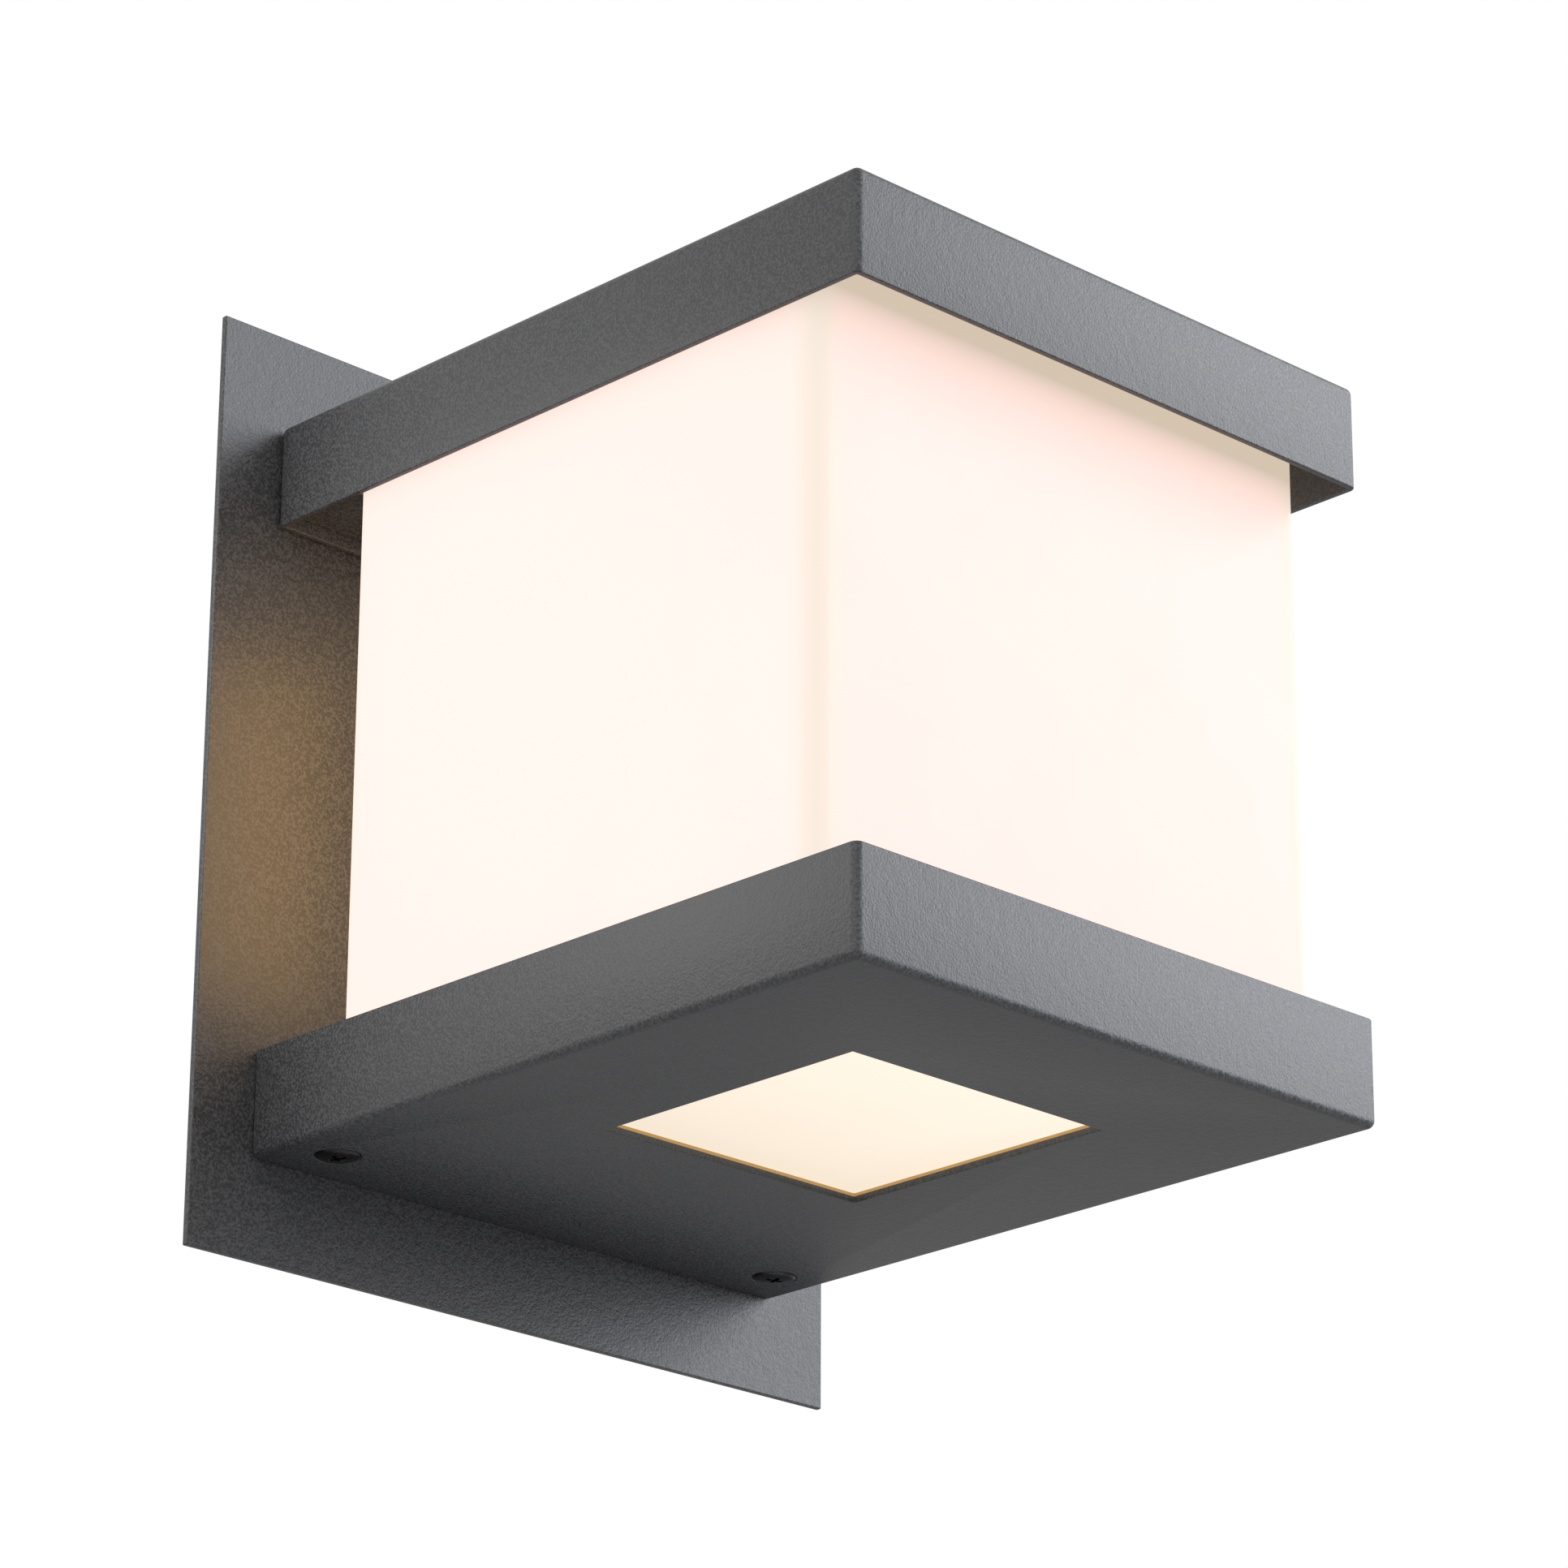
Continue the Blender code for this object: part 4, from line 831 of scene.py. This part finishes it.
def makeStudsAndNuts():
    studs = ["cap_stud_left", "cap_stud_right", "earth_stud", "bracket_stud_left", "bracket_stud_right"]
    low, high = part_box(studs[0])
    places = [(centreOf(name).x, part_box(name)[1].y, centreOf(name).z) for name in studs]
    sizes = {
        "Radius": (high.x - low.x) / 2,
        "Length": high.y - low.y,
        "Pitch": hardware["studPitch"],
        "Depth": hardware["studDepth"],
        "Run-out": hardware["studRunOut"],
        "Sides": 28,
        "Rows": 96,
    }
    finished(grown("weldStuds", threadTree, places, sizes, facingRoom, finishes["zinc_plate"]), *studs)

    groups = (
        ("studNuts", ["cap_nut_left", "cap_nut_right", "bracket_nut_left", "bracket_nut_right"], facingRoom),
        ("earthNut", ["earth_nut"], facingRoom),
        ("trayNuts", ["tray_nut_left", "tray_nut_right"], upright),
    )
    for label, names, turn in groups:
        low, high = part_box(names[0])
        size = high - low
        standing = turn == upright
        places = []
        for name in names:
            place, (nutLow, nutHigh) = centreOf(name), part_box(name)
            places.append((place.x, place.y, nutLow.z) if standing else (place.x, nutHigh.y, place.z))
        sizes = {
            "Across flats": min(size.x, size.y if standing else size.z),
            "Height": size.z if standing else size.y,
            "Bore": hardware["trayNutBore" if standing else "nutBore"],
        }
        material = finishes[slotOf[names[0]]]
        finished(grown(label, nutTree, places, sizes, turn, material, 25), *names)


# The lampholder and the lamp

holder = {
    "wireHole": 0.006,
    "wireHoleDeep": 0.004,
    "shoulder": 0.006,
    "step": 0.0015,
    "skirt": 0.0185,
    "bore": 0.0148,
    "crown": 0.008,
    "well": 0.003,
    "soft": 0.0009,
    "screwHole": 0.0018,
    "screwHoleDeep": 0.0112,
}


def makeLampholder():
    low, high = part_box("lampholder_body")
    centre = ((low.x + high.x) / 2, (low.y + high.y) / 2, 0)
    flange = (high.x - low.x) / 2
    ceiling = high.z - holder["crown"]
    profile = [
        (holder["wireHole"], high.z - holder["wireHoleDeep"]),
        (holder["wireHole"], high.z),
        (flange, high.z),
        (flange, high.z - holder["shoulder"]),
        (holder["skirt"], high.z - holder["shoulder"] - holder["step"]),
        (holder["skirt"], low.z),
        (holder["bore"], low.z),
        (holder["bore"], ceiling),
        (holder["wireHole"], ceiling),
        (holder["wireHole"], ceiling + holder["well"]),
    ]
    body = turned("porcelainHolder", softened(profile, holder["soft"]), centre, 80, closed=True)
    for side in ("left", "right"):
        screw = centreOf(f"lampholder_screw_{side}")
        place = (screw.x, screw.y, high.z)
        carve(body, drill("hole", holder["screwHole"], place, holder["screwHoleDeep"], (0, 0, 1), 32))
    finished(body, "lampholder_body")


lampCap = {
    "pitch": 0.003629,
    "depth": 0.0009,
    "sides": 96,
    "rows": 150,
    "runOut": 0.0022,
    "shoulder": 0.0025,
    "crownShare": 0.78,
    "soft": 0.0006,
}
lampTip = {"rise": 0.0013, "edge": 0.0011, "glassSoft": 0.0008}
lampSkin = {
    "rows": 28,
    "collarShare": 0.06,
    "collarGap": 0.0006,
    "collarStep": 0.0008,
    "rim": 0.002,
    "dish": 0.0002,
}
domeRows = 32


def makeLamp():
    tipLow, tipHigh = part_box("bulb_contact")
    centre = ((tipLow.x + tipHigh.x) / 2, (tipLow.y + tipHigh.y) / 2, 0)
    tipRadius = (tipHigh.x - tipLow.x) / 2
    rise = lampTip["rise"]
    bend = (0.0, 0.3, 0.6, 0.9, 1.2)
    dome = [(tipRadius * math.sin(a), tipHigh.z - rise * (1 - math.cos(a))) for a in bend]
    tip = dome + [(tipRadius, tipHigh.z - lampTip["edge"]), (tipRadius, tipLow.z), (0, tipLow.z)]
    finished(turned("lampTip", tip, centre, 48), "bulb_contact")

    glassLow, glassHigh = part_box("bulb_insulator")
    glassRadius = (glassHigh.x - glassLow.x) / 2
    glass = [(0, glassHigh.z), (glassRadius / 2, glassHigh.z), (glassRadius, glassLow.z), (0, glassLow.z)]
    finished(turned("lampGlass", softened(glass, lampTip["glassSoft"]), centre, 64), "bulb_insulator")

    capLow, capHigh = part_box("bulb_cap")
    outer = (capHigh.x - capLow.x) / 2
    shoulder = lampCap["shoulder"]
    sizes = {
        "Radius": outer,
        "Length": capHigh.z - capLow.z - shoulder,
        "Pitch": lampCap["pitch"],
        "Depth": lampCap["depth"],
        "Run-out": lampCap["runOut"],
        "Sides": lampCap["sides"],
        "Rows": lampCap["rows"],
    }
    place = (centre[0], centre[1], capLow.z)
    shell = grown("screwShell", threadTree, [place], sizes, upright, finishes["nickel"])
    root = outer - lampCap["depth"]
    crown = [
        (0, capHigh.z),
        (root * lampCap["crownShare"], capHigh.z),
        (root, capHigh.z - shoulder),
        (root, capHigh.z - shoulder * 1.4),
        (0, capHigh.z - shoulder * 1.4),
    ]
    carve(shell, turned("crown", softened(crown, lampCap["soft"]), centre, 96), "UNION")
    finished(shell, "bulb_cap")

    skinLow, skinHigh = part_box("bulb_housing")
    belly = (skinHigh.x - skinLow.x) / 2
    collar, drop = outer + lampSkin["collarGap"], skinHigh.z - skinLow.z
    straight = lampSkin["collarShare"]
    skin = [(0, skinHigh.z), (collar - lampSkin["collarStep"], skinHigh.z)]
    for step in range(1, lampSkin["rows"] + 1):
        down = step / lampSkin["rows"]
        out = (1 - math.cos(math.pi * max((down - straight) / (1 - straight), 0))) / 2
        skin.append((collar + (belly - collar) * out, skinHigh.z - drop * down))
    skin += [(belly - lampSkin["rim"], skinLow.z), (0, skinLow.z + lampSkin["dish"])]
    finished(turned("lampHousing", skin, centre, 80), "bulb_housing", "led_board")

    domeLow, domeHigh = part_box("bulb_dome")
    radius = (domeHigh.x - domeLow.x) / 2
    middle = domeLow.z + radius
    start = math.asin(min((domeHigh.z - middle) / radius, 1.0))
    arc = [start - (start + math.pi / 2) * step / domeRows for step in range(domeRows)]
    ball = [(0, domeHigh.z)] + [(radius * math.cos(a), middle + radius * math.sin(a)) for a in arc]
    finished(turned("lampDome", ball + [(0, domeLow.z)], centre, 96), "bulb_dome", material=lampOpal)


# The rubber bush in the plate's cable hole, lying along the wall's normal

bushSizes = {"bore": 0.004, "sleeve": 0.007, "flangeThick": 0.002, "soft": 0.0004}


def makeBush():
    low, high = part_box("cable_grommet")
    middle = (low + high) / 2
    flange = (high.x - low.x) / 2
    length = high.y - low.y
    seat = length - bushSizes["flangeThick"]
    profile = [
        (bushSizes["bore"], length / 2),
        (bushSizes["bore"], length),
        (flange, length),
        (flange, seat),
        (bushSizes["sleeve"], seat),
        (bushSizes["sleeve"], 0),
        (bushSizes["bore"], 0),
    ]
    bush = turned("cableBush", softened(profile, bushSizes["soft"], 3), (0, 0, 0), 64, closed=True)
    turn = Matrix.Rotation(math.radians(90), 4, "X")
    bush.data.transform(Matrix.Translation((middle.x, high.y, middle.z)) @ turn)
    finished(bush, "cable_grommet")


makeCap()
makeTray()
makeDiffuser()
print("housing and diffuser made")
makeTrayScrews()
makeStudsAndNuts()
print("screws, studs and nuts made")
makeLampholder()
makeLamp()
makeBush()
print("lamp, lampholder and bush made")


# The room: a pale floor, a white surround, three soft lights and the warm spill on the plate

room = {"floorDrop": 1.2, "floorSize": 40.0, "floorTone": 0.46, "surround": 1.0}


def makeRoom():
    bm = bmesh.new()
    bmesh.ops.create_grid(bm, x_segments=1, y_segments=1, size=room["floorSize"] / 2)
    bmesh.ops.translate(bm, vec=(0, 0, -room["floorDrop"]), verts=bm.verts)
    mesh = bpy.data.meshes.new("floor")
    bm.to_mesh(mesh)
    bm.free()
    floor = bpy.data.objects.new("floor", mesh)
    bpy.context.scene.collection.objects.link(floor)
    paint = newMaterial("floorPaint", (room["floorTone"],) * 3, 0.7)[0]
    floor.data.materials.append(paint)
    world = bpy.data.worlds.new("surround")
    world.use_nodes = True
    backdrop = world.node_tree.nodes["Background"]
    backdrop.inputs["Color"].default_value = (1.0, 1.0, 1.0, 1.0)
    backdrop.inputs["Strength"].default_value = room["surround"]
    bpy.context.scene.world = world


spill = {"across": 0.067, "behind": -0.022, "height": -0.004, "size": (0.04, 0.08), "power": 0.025}
amber = (1.0, 0.56, 0.14)
lantern = (0, -0.09, 0)
lights = [
    ("key", (1.08, -0.98, 0.48), lantern, (1.3, 1.3), 28, (0.90, 0.93, 1.0)),
    ("fill", (-1.5, -0.5, 0.25), lantern, (1.0, 1.0), 4.5, (0.96, 0.97, 1.0)),
    ("sideFill", (-0.20, -0.016, 0.03), lantern, (0.12, 0.12), 0.11, (1.0, 0.98, 0.95)),
]
for name, across in (("spillLeft", -spill["across"]), ("spillRight", spill["across"])):
    at, onPlate = (across, spill["behind"], spill["height"]), (across, 0, spill["height"])
    lights.append((name, at, onPlate, spill["size"], spill["power"], amber))


def makeLight(name, at, aim, size, power, colour):
    data = bpy.data.lights.new(name, "AREA")
    data.shape = "RECTANGLE"
    data.size, data.size_y = size
    data.energy = power
    data.color = colour
    lamp = bpy.data.objects.new(name, data)
    lamp.location = at
    lamp.rotation_euler = (Vector(aim) - Vector(at)).to_track_quat("-Z", "Y").to_euler()
    lamp.visible_camera = False
    bpy.context.scene.collection.objects.link(lamp)


shot = {
    "azimuth": -44.1,
    "elevation": -21.1,
    "roll": 0.3,
    "distance": 1.304,
    "right": 0.0574,
    "up": 0.0196,
    "lens": 135.5,
}


def makeCamera():
    azimuth, elevation, roll = (math.radians(shot[key]) for key in ("azimuth", "elevation", "roll"))
    outward = math.cos(elevation)
    back = Vector((math.sin(azimuth) * outward, -math.cos(azimuth) * outward, math.sin(elevation)))
    right = Vector((math.cos(azimuth), math.sin(azimuth), 0))
    up = back.cross(right)
    level = Matrix((right, up, back)).transposed()
    turn = level @ Matrix.Rotation(roll, 3, "Z")
    data = bpy.data.cameras.new("camera")
    data.lens = shot["lens"]
    data.sensor_width = 36
    camera = bpy.data.objects.new("camera", data)
    place = turn @ Vector((shot["right"], shot["up"], shot["distance"]))
    camera.matrix_world = Matrix.Translation(place) @ turn.to_4x4()
    bpy.context.scene.collection.objects.link(camera)
    bpy.context.scene.camera = camera


makeRoom()
for light in lights:
    makeLight(*light)
makeCamera()
bpy.context.scene.view_settings.view_transform = "Standard"
print("room, lights and camera ready")
